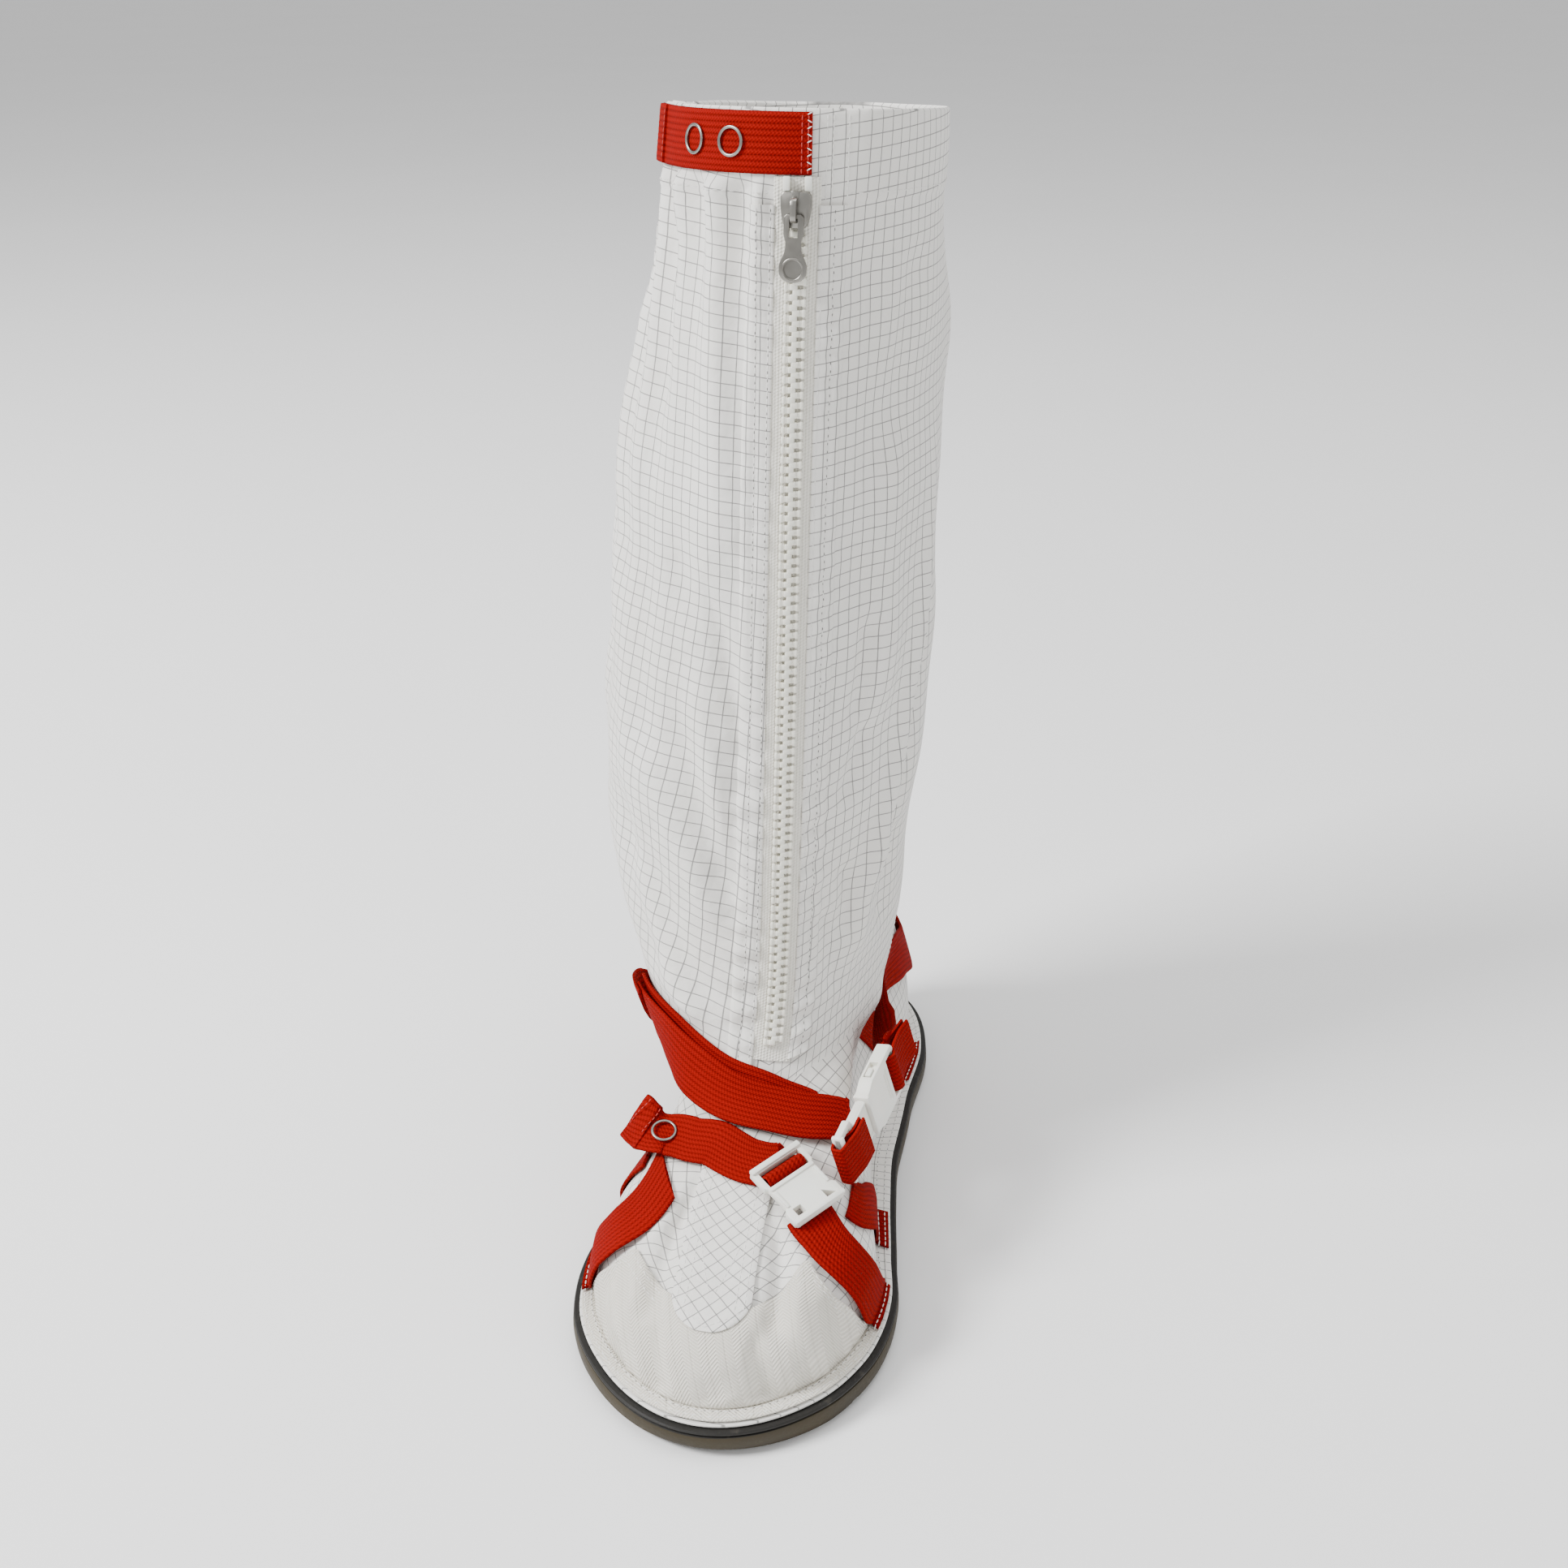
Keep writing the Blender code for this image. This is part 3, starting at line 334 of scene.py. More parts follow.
# Main creases: stops of (turn, row), width, and height (a trough is below 0)
Crease = namedtuple("Crease", "stops width height")
CREASES = [
    # Outer front panel: long folds that run down towards the foot of the zip
    Crease([(-16, 13.7), (-2, 13.0), (5, 12.3), (7, 11.7)], 5, -2.4),
    Crease([(-26, 13.5), (-10, 12.8), (-1, 12.1), (2, 11.5)], 7, 2.2),
    Crease([(-10, 12.9), (0, 12.1), (5, 11.3), (6, 10.7)], 4, -1.8),
    Crease([(-24, 12.7), (-12, 12.0), (-4, 11.3), (3, 10.6)], 6, -2.2),
    Crease([(-34, 12.3), (-22, 11.7), (-10, 11.1), (1, 10.4)], 7, 2.4),
    Crease([(-2, 11.3), (4, 10.8), (7, 10.4)], 4.5, -1.1),
    Crease([(-32, 11.4), (-24, 10.5), (-12, 9.7), (-2, 9.0)], 6.5, -1.9),
    Crease([(-42, 11.0), (-32, 10.2), (-20, 9.4), (-10, 8.7)], 8, 3.0),
    Crease([(-22, 10.6), (-12, 9.9), (0, 9.1), (5, 8.7)], 6, 1.0),
    Crease([(-50, 11.7), (-42, 10.8), (-34, 10.0), (-28, 9.2)], 9, -2.6),
    Crease([(-58, 13.9), (-48, 12.8), (-38, 12.0), (-26, 11.4)], 10, 2.2),
    Crease([(-42, 14.9), (-30, 14.0), (-16, 13.2), (-5, 12.6)], 9, -2.0),
    Crease([(-22, 16.0), (-14, 15.2), (-7, 14.3), (-1, 13.5)], 7, 2.0),
    Crease([(8, 16.1), (6, 15.4), (7, 14.4), (6, 13.4)], 5, -1.9),
    Crease([(-52, 16.2), (-44, 15.4), (-38, 14.5)], 8, -2.2),
    Crease([(-68, 15.6), (-63, 14.6), (-55, 13.6)], 10, 2.2),
    Crease([(-78, 13.2), (-72, 12.2), (-63, 11.2)], 10, -2.4),
    # Inner front panel
    Crease([(47, 13.3), (45, 12.8), (43, 12.3)], 4.5, -2.4),
    Crease([(49, 12.4), (45, 12.0), (40, 11.6)], 4.5, -2.2),
    Crease([(56, 14.9), (53, 13.8), (54, 12.9), (50, 12.2)], 8, 2.2),
    Crease([(84, 14.4), (74, 13.1), (66, 12.1), (58, 11.1), (54, 10.2)], 4.5, 3.2),
    Crease([(92, 14.0), (82, 12.8), (73, 11.7), (65, 10.7), (61, 9.9)], 6, -3.0),
    Crease([(66, 16.0), (58, 15.2), (52, 14.2)], 9, -2.2),
    Crease([(38, 16.1), (41, 15.4), (44, 14.6), (45, 13.8)], 8, -1.6),
    Crease([(44, 11.0), (47, 10.5), (46, 9.7)], 4, -2.0),
    Crease([(62, 11.3), (56, 10.3), (52, 9.3)], 6, 2.2),
    Crease([(38, 10.5), (42, 9.7), (45, 8.9)], 5, -1.9),
    Crease([(78, 11.0), (73, 10.2), (69, 9.3)], 7, -2.4),
    # Behind the ankle and up the back
    Crease([(138, 10.9), (160, 10.4), (182, 10.2), (205, 10.6)], 7, -2.6),
    Crease([(130, 9.9), (158, 9.4), (186, 9.3), (212, 9.9)], 7, 2.4),
    Crease([(124, 8.9), (150, 8.3), (180, 8.2), (212, 8.6)], 6, -2.2),
    Crease([(116, 12.0), (140, 11.5), (166, 11.4)], 8, -2.0),
    Crease([(-112, 12.2), (-138, 11.7), (-165, 11.7)], 8, 2.0),
    Crease([(110, 15.7), (117, 13.7), (123, 12.3)], 10, 2.2),
    Crease([(-106, 16.0), (-114, 13.9), (-120, 12.3)], 10, -2.4),
    Crease([(-88, 14.8), (-92, 13.0), (-84, 11.4)], 11, 2.2),
    Crease([(148, 16.0), (156, 14.0), (150, 12.5)], 10, -2.0),
    Crease([(-148, 15.7), (-156, 13.9), (-150, 12.5)], 10, 2.0),
    Crease([(178, 16.0), (174, 14.2), (182, 12.6)], 9, 1.8),
    # Foot: both sides of the middle strip, the ankle's sides and the heel
    Crease([(-24, 6.3), (-25.5, 5.3), (-25, 4.2), (-22, 3.3), (-19, 2.6)], 4.5, -3.2),
    Crease([(-34, 6.0), (-35, 5.1), (-34, 4.1)], 5, 2.4),
    Crease([(23, 6.0), (24.5, 5.1), (25, 4.2), (23, 3.3), (20, 2.6)], 4.5, -3.2),
    Crease([(33, 5.7), (34, 4.9), (33, 4.3)], 5, 2.0),
    Crease([(66, 7.8), (74, 6.2), (80, 4.8)], 7, -2.6),
    Crease([(80, 7.9), (88, 6.4), (92, 4.9), (90, 3.6)], 7, 2.2),
    Crease([(97, 7.4), (104, 6.0), (106, 4.6)], 6, -2.4),
    Crease([(-70, 6.4), (-78, 5.0), (-84, 3.4)], 7, -2.4),
    Crease([(-88, 5.2), (-96, 3.8), (-98, 2.4)], 7, 2.0),
    Crease([(88, 2.6), (96, 2.0), (104, 2.4)], 6, -1.6),
    Crease([(140, 6.6), (165, 5.9), (190, 5.9), (215, 6.6)], 7, -1.8),
    # Toe: the fullness that runs out of the strip's corners into the cap
    Crease([(-12, 3.4), (-14, 2.3), (-13, 1.1), (-10, 0.4)], 5, -2.0),
    Crease([(13, 3.4), (16, 2.3), (18, 1.1), (17, 0.4)], 5, -2.2),
    Crease([(-23, 3.7), (-26, 2.4), (-27, 1.2)], 7, 1.6),
    Crease([(26, 3.9), (28, 2.6), (30, 1.2)], 7, 1.8),
    Crease([(2, 2.7), (4, 1.6), (6, 0.7)], 6, -1.0),
    Crease([(-37, 3.0), (-39, 1.8), (-41, 0.8)], 6, -1.5),
    Crease([(38, 3.0), (41, 1.9), (44, 0.9)], 6, -1.4),
]


def crease_line(stops, count=9):
    at = np.linspace(0, len(stops) - 1, count)
    turn, row = (smooth_curve(range(len(stops)), column)(at) for column in zip(*stops))
    return form(np.radians(turn), row)


# Heights in millimetres of what moves the cloth
CREASE_GAIN = 1.45
PUCKER = 1.3
GATHER = 5.4
SOFT_WAVE = 1.2
SEAM_WAVE = 0.35
crease_lines = [(crease_line(crease.stops), crease) for crease in CREASES]
presses = [(route_points(stops), half) for stops, half in (
    [(COLLAR[:4], 10), (ANKLE_UNDER, 11), (ANKLE_OVER, 10), (INSTEP[:5], 9), (ANKLE_BACK[:8], 9),
     (HEEL_LOOP, 7), (VAMP_STRIP, 9), (VAMP_STRIP[:2], 14)] + [(stops, 9) for stops in BANDS.values()])]


def relief(angle, v):
    """How far creases, puckers and gathers move the cloth outwards."""
    point = form(angle, v)
    z = point[..., 2]
    height = np.zeros(z.shape)
    for line, crease in crease_lines:
        distance, place = along_line(point, line, 3 * crease.width)
        fade = ease(np.minimum(place, 1 - place) * 4 + 0.1)
        height += CREASE_GAIN * crease.height * np.exp(-(distance / crease.width) ** 2) * fade
    s = zip_arc(angle, v)
    shaft = ease((v - 8.3) / 0.4)
    height *= 1 - shaft * (1 - ease((np.abs(s) - 9) / 13))
    # Small puckers along the sewn zip, stronger towards the ankle
    lower = 0.5 + 0.5 * ease((280 - z) / 120)
    side = np.sign(s)
    wave = np.sin(2 * np.pi * z / 12.5 + 1.9 * np.sin(z / 21 + side) + side) * np.sin(z / 31 + 2 * side)
    height += shaft * PUCKER * lower * np.exp(-((np.abs(s) - 13.5) / 7.5) ** 2) * wave
    # Gathers that hang from the collar strap on the outer side
    turn = np.degrees(angle)
    under_strap = ease((turn + 100) / 20) * ease((6 - turn) / 12)
    gather = np.sin(2 * np.pi * s / 19 + 0.8 * np.sin(s / 13)) * np.exp(-(454 - z) / 80)
    height += GATHER * under_strap * gather * ease((s + 150) / 20) * ease((-s - 9) / 6)
    # Soft waves of the standing cloth, away from the zip
    soft = np.sin(z / 13 + 1.7 * np.sin(2 * angle + 0.8)) * np.sin(3 * angle + z / 47)
    height += shaft * SOFT_WAVE * soft * ease((np.abs(s) - 16) / 12)
    # Shallow drawn-in waves over the seam of the flange
    seam = np.exp(-((v - 0.5) / 0.6) ** 2)
    height += SEAM_WAVE * seam * np.sin(point[..., 1] / 2.6 + 1.3 * np.sin(point[..., 1] / 9))
    for line, half in presses:
        distance, _ = along_line(point, line, half + 8)
        height *= ease((distance - half) / 7)
    return height


def hem(v):
    return HEM_STEP * np.clip((v - HEM_ROW) / HEM_BLEND, 0, 1)


def cloth(angle, v, lift=0.0):
    """Points on the worked cloth, or a lift above it."""
    angle, v = np.broadcast_arrays(np.asarray(angle, float), np.asarray(v, float))
    raise_by = np.asarray(lift + hem(v) + relief(angle, v))
    return form(angle, v) + outward(angle, v) * raise_by[..., None]


# Places on the cut cloth, which carry the printed grid
edge_angles = np.linspace(0.02, np.pi - 0.02, 200)
inner_edge = sole_edge(edge_angles, EDGE_INSET)
outer_edge = sole_edge(-edge_angles, EDGE_INSET)


def edge_gap(point, side):
    """Distance across from a point to the flange's edge beside it."""
    inner_x = np.interp(point[..., 1], inner_edge[:, 1], inner_edge[:, 0])
    outer_x = np.interp(point[..., 1], outer_edge[:, 1], outer_edge[:, 0])
    return np.abs(np.where(side > 0, inner_x, outer_x) - point[..., 0])


def shaft_cut(angle, v):
    """Grid coordinates of the shaft, whose cross threads sag towards the zip."""
    z = form(angle, v)[..., 2]
    s = zip_arc(angle, v)
    low = ease((330 - z) / 190)
    sag = 7 + 13 * low
    w = z + sag * np.exp(-np.abs(s) / 42)
    lean = np.where(s < 0, 0.22, 0.10)
    u = s - lean * np.minimum(z - 290, 0) * (1 - np.exp(-np.abs(s) / 80))
    return np.stack([u, w], -1)


def foot_cut(angle, v):
    """Grid coordinates of the foot, straight along it and up its sides."""
    angle, v = np.broadcast_arrays(np.asarray(angle, float), np.asarray(v, float))
    side = np.where(np.sin(angle) >= 0, 1.0, -1.0)
    point = form(angle, v)
    corner = side * np.pi / 2
    beside_it = form(corner, v)
    behind = np.cos(angle) < 0
    extra = np.abs(zip_arc(angle, v) - zip_arc(corner, v))
    u = np.where(behind, beside_it[..., 1] + extra, point[..., 1])
    gap = np.where(behind, edge_gap(beside_it, side), edge_gap(point, side))
    return np.stack([u, np.hypot(gap, point[..., 2] - FLANGE_TOP)], -1)


class Reading:
    """A socket in a shader; arithmetic on it adds Math nodes."""

    def __init__(self, look, socket):
        self.look = look
        self.socket = socket

    def math(self, operation, *others):
        values = dict(enumerate((self, *others)))
        return self.look.node("ShaderNodeMath", {"operation": operation}, values)

    def __add__(self, other):
        return self.math("ADD", other)

    def __sub__(self, other):
        return self.math("SUBTRACT", other)

    def __rsub__(self, other):
        return self.look.node("ShaderNodeMath", {"operation": "SUBTRACT"}, {0: other, 1: self})

    def __mul__(self, other):
        return self.math("MULTIPLY", other)

    def __truediv__(self, other):
        return self.math("DIVIDE", other)

    def __abs__(self):
        return self.math("ABSOLUTE")

    __radd__ = __add__
    __rmul__ = __mul__

    def fraction(self):
        return self.math("FRACT")

    def wave(self):
        return self.math("SINE")

    def held(self):
        """Held between 0 and 1."""
        return self.look.node("ShaderNodeClamp", {}, {0: self, 1: 0.0, 2: 1.0})


class Look:
    """A material, its shader and the means to add nodes to it."""

    def __init__(self, name, constants):
        self.material = bpy.data.materials.new(name)
        self.material.use_nodes = True
        self.tree = self.material.node_tree
        self.shader = self.tree.nodes["Principled BSDF"]
        for socket, value in constants.items():
            self.shader.inputs[socket].default_value = value

    def put(self, socket, value):
        if isinstance(value, Reading):
            self.tree.links.new(value.socket, socket)
        else:
            socket.default_value = value

    def node(self, kind, settings, values, out=0):
        made = self.tree.nodes.new(kind)
        for key, value in settings.items():
            setattr(made, key, value)
        for key, value in values.items():
            self.put(made.inputs[key], value)
        return Reading(self, made.outputs[out])

    def parts(self, vector):
        """The X, Y and Z of a vector."""
        first = self.node("ShaderNodeSeparateXYZ", {}, {0: vector})
        outputs = first.socket.node.outputs
        return [Reading(self, outputs[i]) for i in range(3)]

    def place(self):
        return self.node("ShaderNodeTexCoord", {}, {}, out="Object")

    def cut(self):
        """Place on the cut cloth, in millimetres."""
        return self.node("ShaderNodeUVMap", {"uv_map": "cut"}, {})

    def noise(self, scale, detail=2.0):
        values = {"Vector": self.place(), "Scale": scale, "Detail": detail}
        return self.node("ShaderNodeTexNoise", {}, values)

    def mix(self, share, first, second):
        return self.node("ShaderNodeMix", {"data_type": "RGBA"}, {0: share, 6: first, 7: second}, out=2)

    def bump(self, height, distance, strength=1.0, onto=None):
        values = {"Height": height, "Distance": distance, "Strength": strength}
        if onto is not None:
            values["Normal"] = onto
        return self.node("ShaderNodeBump", {}, values)

    def paint(self, colour=None, roughness=None, normal=None):
        for socket, value in (("Base Color", colour), ("Roughness", roughness), ("Normal", normal)):
            if value is not None:
                self.put(self.shader.inputs[socket], value)
        return self.material


def colour(red, green, blue):
    return (red, green, blue, 1.0)


def grid_line(coordinate, pitch, half, soft):
    """1 on the evenly spaced lines and 0 between them."""
    away = abs((coordinate / pitch).fraction() - 0.5) * pitch
    return ((half + soft - away) / soft).held()


GRID_PITCH = 4.75
HERRINGBONE = 6.5
TWILL_PITCH = 1.55
CORD_PITCH = 2.1
KNIT_PITCH = 1.25
DIAGONAL = math.sqrt(0.5)


def grid_cloth(name, bias=False):
    """Off-white woven cloth with the thin grey grid of conductive threads."""
    look = Look(name, {"Roughness": 0.74, "Sheen Weight": 0.12, "Specular IOR Level": 0.35})
    u, w, _ = look.parts(look.cut())
    if bias:
        u, w = (u + w) * DIAGONAL, (w - u) * DIAGONAL
    broken = look.noise(420.0) * 0.5 + 0.72
    lines = (grid_line(u, GRID_PITCH, 0.10, 0.16) + grid_line(w, GRID_PITCH, 0.10, 0.16)).held() * broken
    soil = look.noise(11.0, 4.0)
    base = look.mix(soil, colour(0.72, 0.70, 0.655), colour(0.80, 0.79, 0.765))
    base = look.mix((lines * 0.95).held(), base, colour(0.20, 0.195, 0.19))
    weave = ((u * 13.0).wave() * (w * 13.0).wave()) * 0.25 + lines * 0.8
    rumple = look.noise(95.0, 3.0)
    normal = look.bump(rumple, 0.0017, 0.8)
    normal = look.bump(weave, 0.00012, 0.6, onto=normal)
    return look.paint(base, 0.66 + soil * 0.16, normal)


def twill_cloth(name):
    """Cream herringbone twill: slanted ridges that turn back every few millimetres."""
    look = Look(name, {"Roughness": 0.8, "Sheen Weight": 0.15, "Specular IOR Level": 0.3})
    u, w, _ = look.parts(look.cut())
    slant = w + u.math("PINGPONG", HERRINGBONE)
    ridge = (slant * (2 * math.pi / TWILL_PITCH)).wave() * 0.5 + 0.5
    turn_back = grid_line(u, HERRINGBONE, 0.12, 0.35)
    soil = look.noise(14.0, 4.0)
    base = look.mix(soil, colour(0.70, 0.66, 0.57), colour(0.83, 0.81, 0.75))
    # Painted shade: darker in the troughs between the twill ridges and along the turn-back grooves
    base = look.mix((1 - ridge) * 0.5 + turn_back * 0.15, base, colour(0.46, 0.43, 0.36))
    normal = look.bump(look.noise(70.0, 3.0), 0.0010, 0.5)
    normal = look.bump(ridge - turn_back * 0.5, 0.00035, 0.8, onto=normal)
    return look.paint(base, 0.74 + ridge * 0.12, normal)


def web_cloth(name):
    """Red webbing: cords along its length, crossed by a fine slanted weave."""
    look = Look(name, {"Roughness": 0.85, "Specular IOR Level": 0.06})
    u, w, _ = look.parts(look.cut())
    cords = abs((w * (math.pi / CORD_PITCH)).wave())
    weave = ((u * 4.6 + w * 2.6).wave() * 0.5 + 0.5) * 0.6 + ((u * 4.6 - w * 5.2).wave() * 0.5 + 0.5) * 0.4
    height = cords * 0.65 + weave * 0.5
    worn = look.noise(26.0, 4.0)
    # Painted shade and light: darker in the grooves between the cords, lighter on their raised tops
    base = look.mix(height.held(), colour(0.085, 0.0015, 0.0008), colour(0.25, 0.0025, 0.0012))
    base = look.mix(worn * 0.3, base, colour(0.29, 0.005, 0.002))
    normal = look.bump(height, 0.00055, 0.9)
    normal = look.bump(look.noise(900.0), 0.0002, 0.4, onto=normal)
    return look.paint(base, 0.76 + worn * 0.14, normal)


def tape_cloth(name):
    look = Look(name, {"Roughness": 0.85, "Sheen Weight": 0.15, "Specular IOR Level": 0.25})
    u, w, _ = look.parts(look.cut())
    knit = abs((w * (math.pi / KNIT_PITCH)).wave()) * 0.6 + ((u * 5.0 + w * 2.5).wave() * 0.5 + 0.5) * 0.4
    # Painted shade and light: darker in the knit's grooves, lighter on its raised loops
    base = look.mix(knit, colour(0.62, 0.60, 0.53), colour(0.82, 0.80, 0.735))
    return look.paint(base, 0.78 + knit * 0.12, look.bump(knit, 0.0004, 0.8))


def rubber(name):
    """Dark olive-brown sole with a nearly black lip along its top."""
    look = Look(name, {"Roughness": 0.6, "Specular IOR Level": 0.35})
    height = look.parts(look.place())[2]
    lip = ((height - 0.0097) / 0.0003).held()
    scuffs = look.noise(38.0, 5.0)
    base = look.mix(scuffs, colour(0.020, 0.015, 0.007), colour(0.046, 0.034, 0.014))
    base = look.mix(lip * 0.9, base, colour(0.006, 0.006, 0.006))
    dust = ((look.noise(160.0, 4.0) - 0.62) * 5.0).held()
    base = look.mix(dust * 0.25, base, colour(0.16, 0.14, 0.11))
    return look.paint(base, 0.48 + scuffs * 0.25, look.bump(look.noise(520.0, 3.0), 0.0003, 0.6))


def plastic(name, light, dark):
    look = Look(name, {"Roughness": 0.4, "Coat Weight": 0.15, "Subsurface Weight": 0.06})
    age = look.noise(55.0, 3.0)
    base = look.mix(age, dark, light)
    return look.paint(base, 0.34 + age * 0.18, look.bump(look.noise(700.0, 2.0), 0.00008, 0.5))


def nickel(name):
    look = Look(name, {"Metallic": 1.0, "Roughness": 0.3})
    wear = look.noise(300.0, 4.0)
    tarnish = look.noise(90.0, 3.0)
    base = look.mix(tarnish, colour(0.16, 0.15, 0.13), colour(0.36, 0.35, 0.325))
    return look.paint(base, 0.22 + wear * 0.22, look.bump(wear, 0.00006, 0.5))


def thread(name, pale, shade):
    look = Look(name, {"Roughness": 0.7, "Sheen Weight": 0.2})
    twist = look.noise(1200.0, 1.0)
    return look.paint(look.mix(twist, shade, pale), 0.62 + twist * 0.2, look.bump(twist, 0.0001, 0.7))


def lining_cloth(name):
    look = Look(name, {"Roughness": 0.85})
    x, y, _ = look.parts(look.place())
    weave = (x * 5200.0).wave() * (y * 5200.0).wave() * 0.5 + 0.5
    base = look.mix(look.noise(30.0, 4.0), colour(0.50, 0.49, 0.45), colour(0.66, 0.65, 0.62))
    return look.paint(base, 0.8 + weave * 0.1, look.bump(weave, 0.0002, 0.6))


def floor_look(name):
    look = Look(name, {"Roughness": 0.9, "Specular IOR Level": 0.1})
    tone = look.noise(3.0, 2.0)
    return look.paint(look.mix(tone, colour(0.86, 0.86, 0.86), colour(0.89, 0.89, 0.89)))


GRID = grid_cloth("grid_cloth")
BIAS_GRID = grid_cloth("bias_grid_cloth", bias=True)
TWILL = twill_cloth("herringbone_twill")
WEB = web_cloth("red_webbing")
TAPE = tape_cloth("zip_tape_cloth")
RUBBER = rubber("sole_rubber")
IVORY = plastic("ivory_plastic", colour(0.86, 0.85, 0.80), colour(0.76, 0.74, 0.66))
TOOTH = plastic("zip_tooth_plastic", colour(0.85, 0.83, 0.74), colour(0.76, 0.73, 0.62))
NICKEL = nickel("tarnished_nickel")
WHITE_THREAD = thread("white_thread", colour(0.86, 0.85, 0.82), colour(0.62, 0.61, 0.58))
RED_THREAD = thread("red_thread", colour(0.50, 0.014, 0.006), colour(0.25, 0.006, 0.003))
# Painted shade: a dark colour for the shadow inside the needle holes, not a thread
PAINTED_HOLE_SHADE = thread("painted_hole_shade", colour(0.20, 0.195, 0.185), colour(0.11, 0.105, 0.10))
LINING = lining_cloth("insole_lining")


def show(name, data, look, body="boot", instead=(), smooth=40):
    """Make a mesh in metres a piece of the boot."""
    data.shade_smooth()
    data.set_sharp_from_angle(angle=math.radians(smooth))
    made = bpy.data.objects.new(name, data)
    data.materials.append(look)
    bpy.context.scene.collection.objects.link(made)
    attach(made, body)
    if instead:
        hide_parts(*instead)
    return made


def to_scene(name, mesh):
    """Mesh in the scene's metres, faces outwards, from a bmesh in the layout's millimetres."""
    bmesh.ops.translate(mesh, vec=(BOX_SHIFT, 0, 0), verts=mesh.verts)
    bmesh.ops.scale(mesh, vec=(MM, MM, MM), verts=mesh.verts)
    bmesh.ops.recalc_face_normals(mesh, faces=mesh.faces)
    data = bpy.data.meshes.new(name)
    mesh.to_mesh(data)
    mesh.free()
    return data


def place(name, mesh, look, slot, body="boot", instead=(), smooth=40):
    """Make a bmesh in millimetres a piece of the boot."""
    return show(name, to_scene(name, mesh), look, body, instead, smooth)


def settle(made):
    """Apply a piece's modifiers."""
    bpy.context.view_layer.update()
    graph = bpy.context.evaluated_depsgraph_get()
    data = bpy.data.meshes.new_from_object(made.evaluated_get(graph))
    made.modifiers.clear()
    made.data = data
    return made


def fabric_grid(points, cut):
    """A grid of faces laid through rows of points, with each point's place on the cut cloth."""
    rows, columns = points.shape[:2]
    mesh = bmesh.new()
    bmesh.ops.create_grid(mesh, x_segments=columns - 1, y_segments=rows - 1, size=1.0)
    mesh.verts.ensure_lookup_table()
    flat = points.reshape(-1, 3)
    for vert, co in zip(mesh.verts, flat):
        vert.co = co
    mesh.verts.index_update()
    layer = mesh.loops.layers.uv.new("cut")
    flat_cut = cut.reshape(-1, 2)
    for face in mesh.faces:
        for loop in face.loops:
            loop[layer].uv = flat_cut[loop.vert.index]
    return mesh


def close_up(mesh):
    """Merge the grid's meeting edges and fill what is left open."""
    bmesh.ops.remove_doubles(mesh, verts=mesh.verts, dist=0.0005)
    rim = [edge for edge in mesh.edges if edge.is_boundary]
    if rim:
        bmesh.ops.holes_fill(mesh, edges=rim, sides=0)


# Upper
def upper_cloth():
    turns = np.linspace(-180, 180, 213)
    turns = turns - 7.0 * np.sin(np.radians(turns))
    angle = np.radians(turns)[None, :]
    foot = np.concatenate([np.linspace(-1, 0, 7), np.linspace(0.12, SHAFT_ROW, 66)])[:, None]
    collar_hem = np.linspace(HEM_ROW + HEM_BLEND, LAST_ROW, 18)
    shaft = np.concatenate([np.linspace(SHAFT_ROW, HEM_ROW, 168), collar_hem])[:, None]
    inside = np.linspace(LAST_ROW, 0.06, 74)[:, None]
    edge = sole_edge(angle[0], EDGE_INSET - 0.35, FLANGE_TOP - 0.75)[None]
    foot_points = cloth(angle, foot)
    shaft_points = cloth(angle, shaft)
    rim = cloth(angle, np.array([[LAST_ROW]]), -0.7)
    rim[..., 2] += 0.7
    inner = cloth(angle, inside) - outward(angle, inside) * (WALL + hem(inside)[..., None])
    root = wall(angle, np.zeros((1, 1)))
    flat_normal = wall_normal(angle, np.zeros((1, 1))) * np.array((1.0, 1.0, 0.0))
    root = root - flat_normal * ROOT_INSET
    root[..., 2] = FLANGE_TOP - WALL
    under = sole_edge(angle[0], EDGE_INSET, FLANGE_TOP - WALL)[None]
    points = np.concatenate([edge, foot_points, shaft_points, rim, inner, root, under, edge])
    foot_grid = foot_cut(angle, foot)
    shaft_grid = shaft_cut(angle, shaft)
    inner_grid = shaft_cut(angle, inside)
    spare = np.zeros((1, angle.shape[1], 2))
    cut = np.concatenate([foot_grid[:1], foot_grid, shaft_grid, shaft_grid[-1:], inner_grid,
                          inner_grid[-1:], spare, spare])
    mesh = fabric_grid(points, cut)
    close_up(mesh)
    return place("grid_upper", mesh, GRID, "fabric", instead=("upper",), smooth=70)


upper_cloth()


# Facings: the folded edges of the cloth along the zip
FACING = [(7.65, 0.45), (7.75, 1.15), (8.4, 1.55), (9.1, 1.3), (9.9, 1.6), (12.4, 1.5), (13.6, 1.05),
          (14.8, 1.4), (17.0, 1.15), (17.9, 0.7), (18.6, 0.1)]
FACING_BACK = [(18.6, -0.1), (14.0, -0.1), (8.0, 0.1)]
facing_lift = smooth_curve([row[0] for row in FACING], [row[1] for row in FACING])
ZIP_BOTTOM = 8.6
ZIP_TOP = 16.5


def facing(name, side):
    rows = np.linspace(ZIP_BOTTOM - 0.25, 16.28, 170)
    loop = FACING + FACING_BACK + FACING[:1]
    columns = []
    cuts = []
    for distance, lift in loop:
        angle = angle_at(side * distance, rows)
        columns.append(cloth(angle, rows, lift))
        cuts.append(shaft_cut(angle, rows))
    mesh = fabric_grid(np.stack(columns, 1), np.stack(cuts, 1))
    close_up(mesh)
    return place(name, mesh, GRID, "fabric", smooth=60)


facing("zip_facing_inner", 1)
facing("zip_facing_outer", -1)


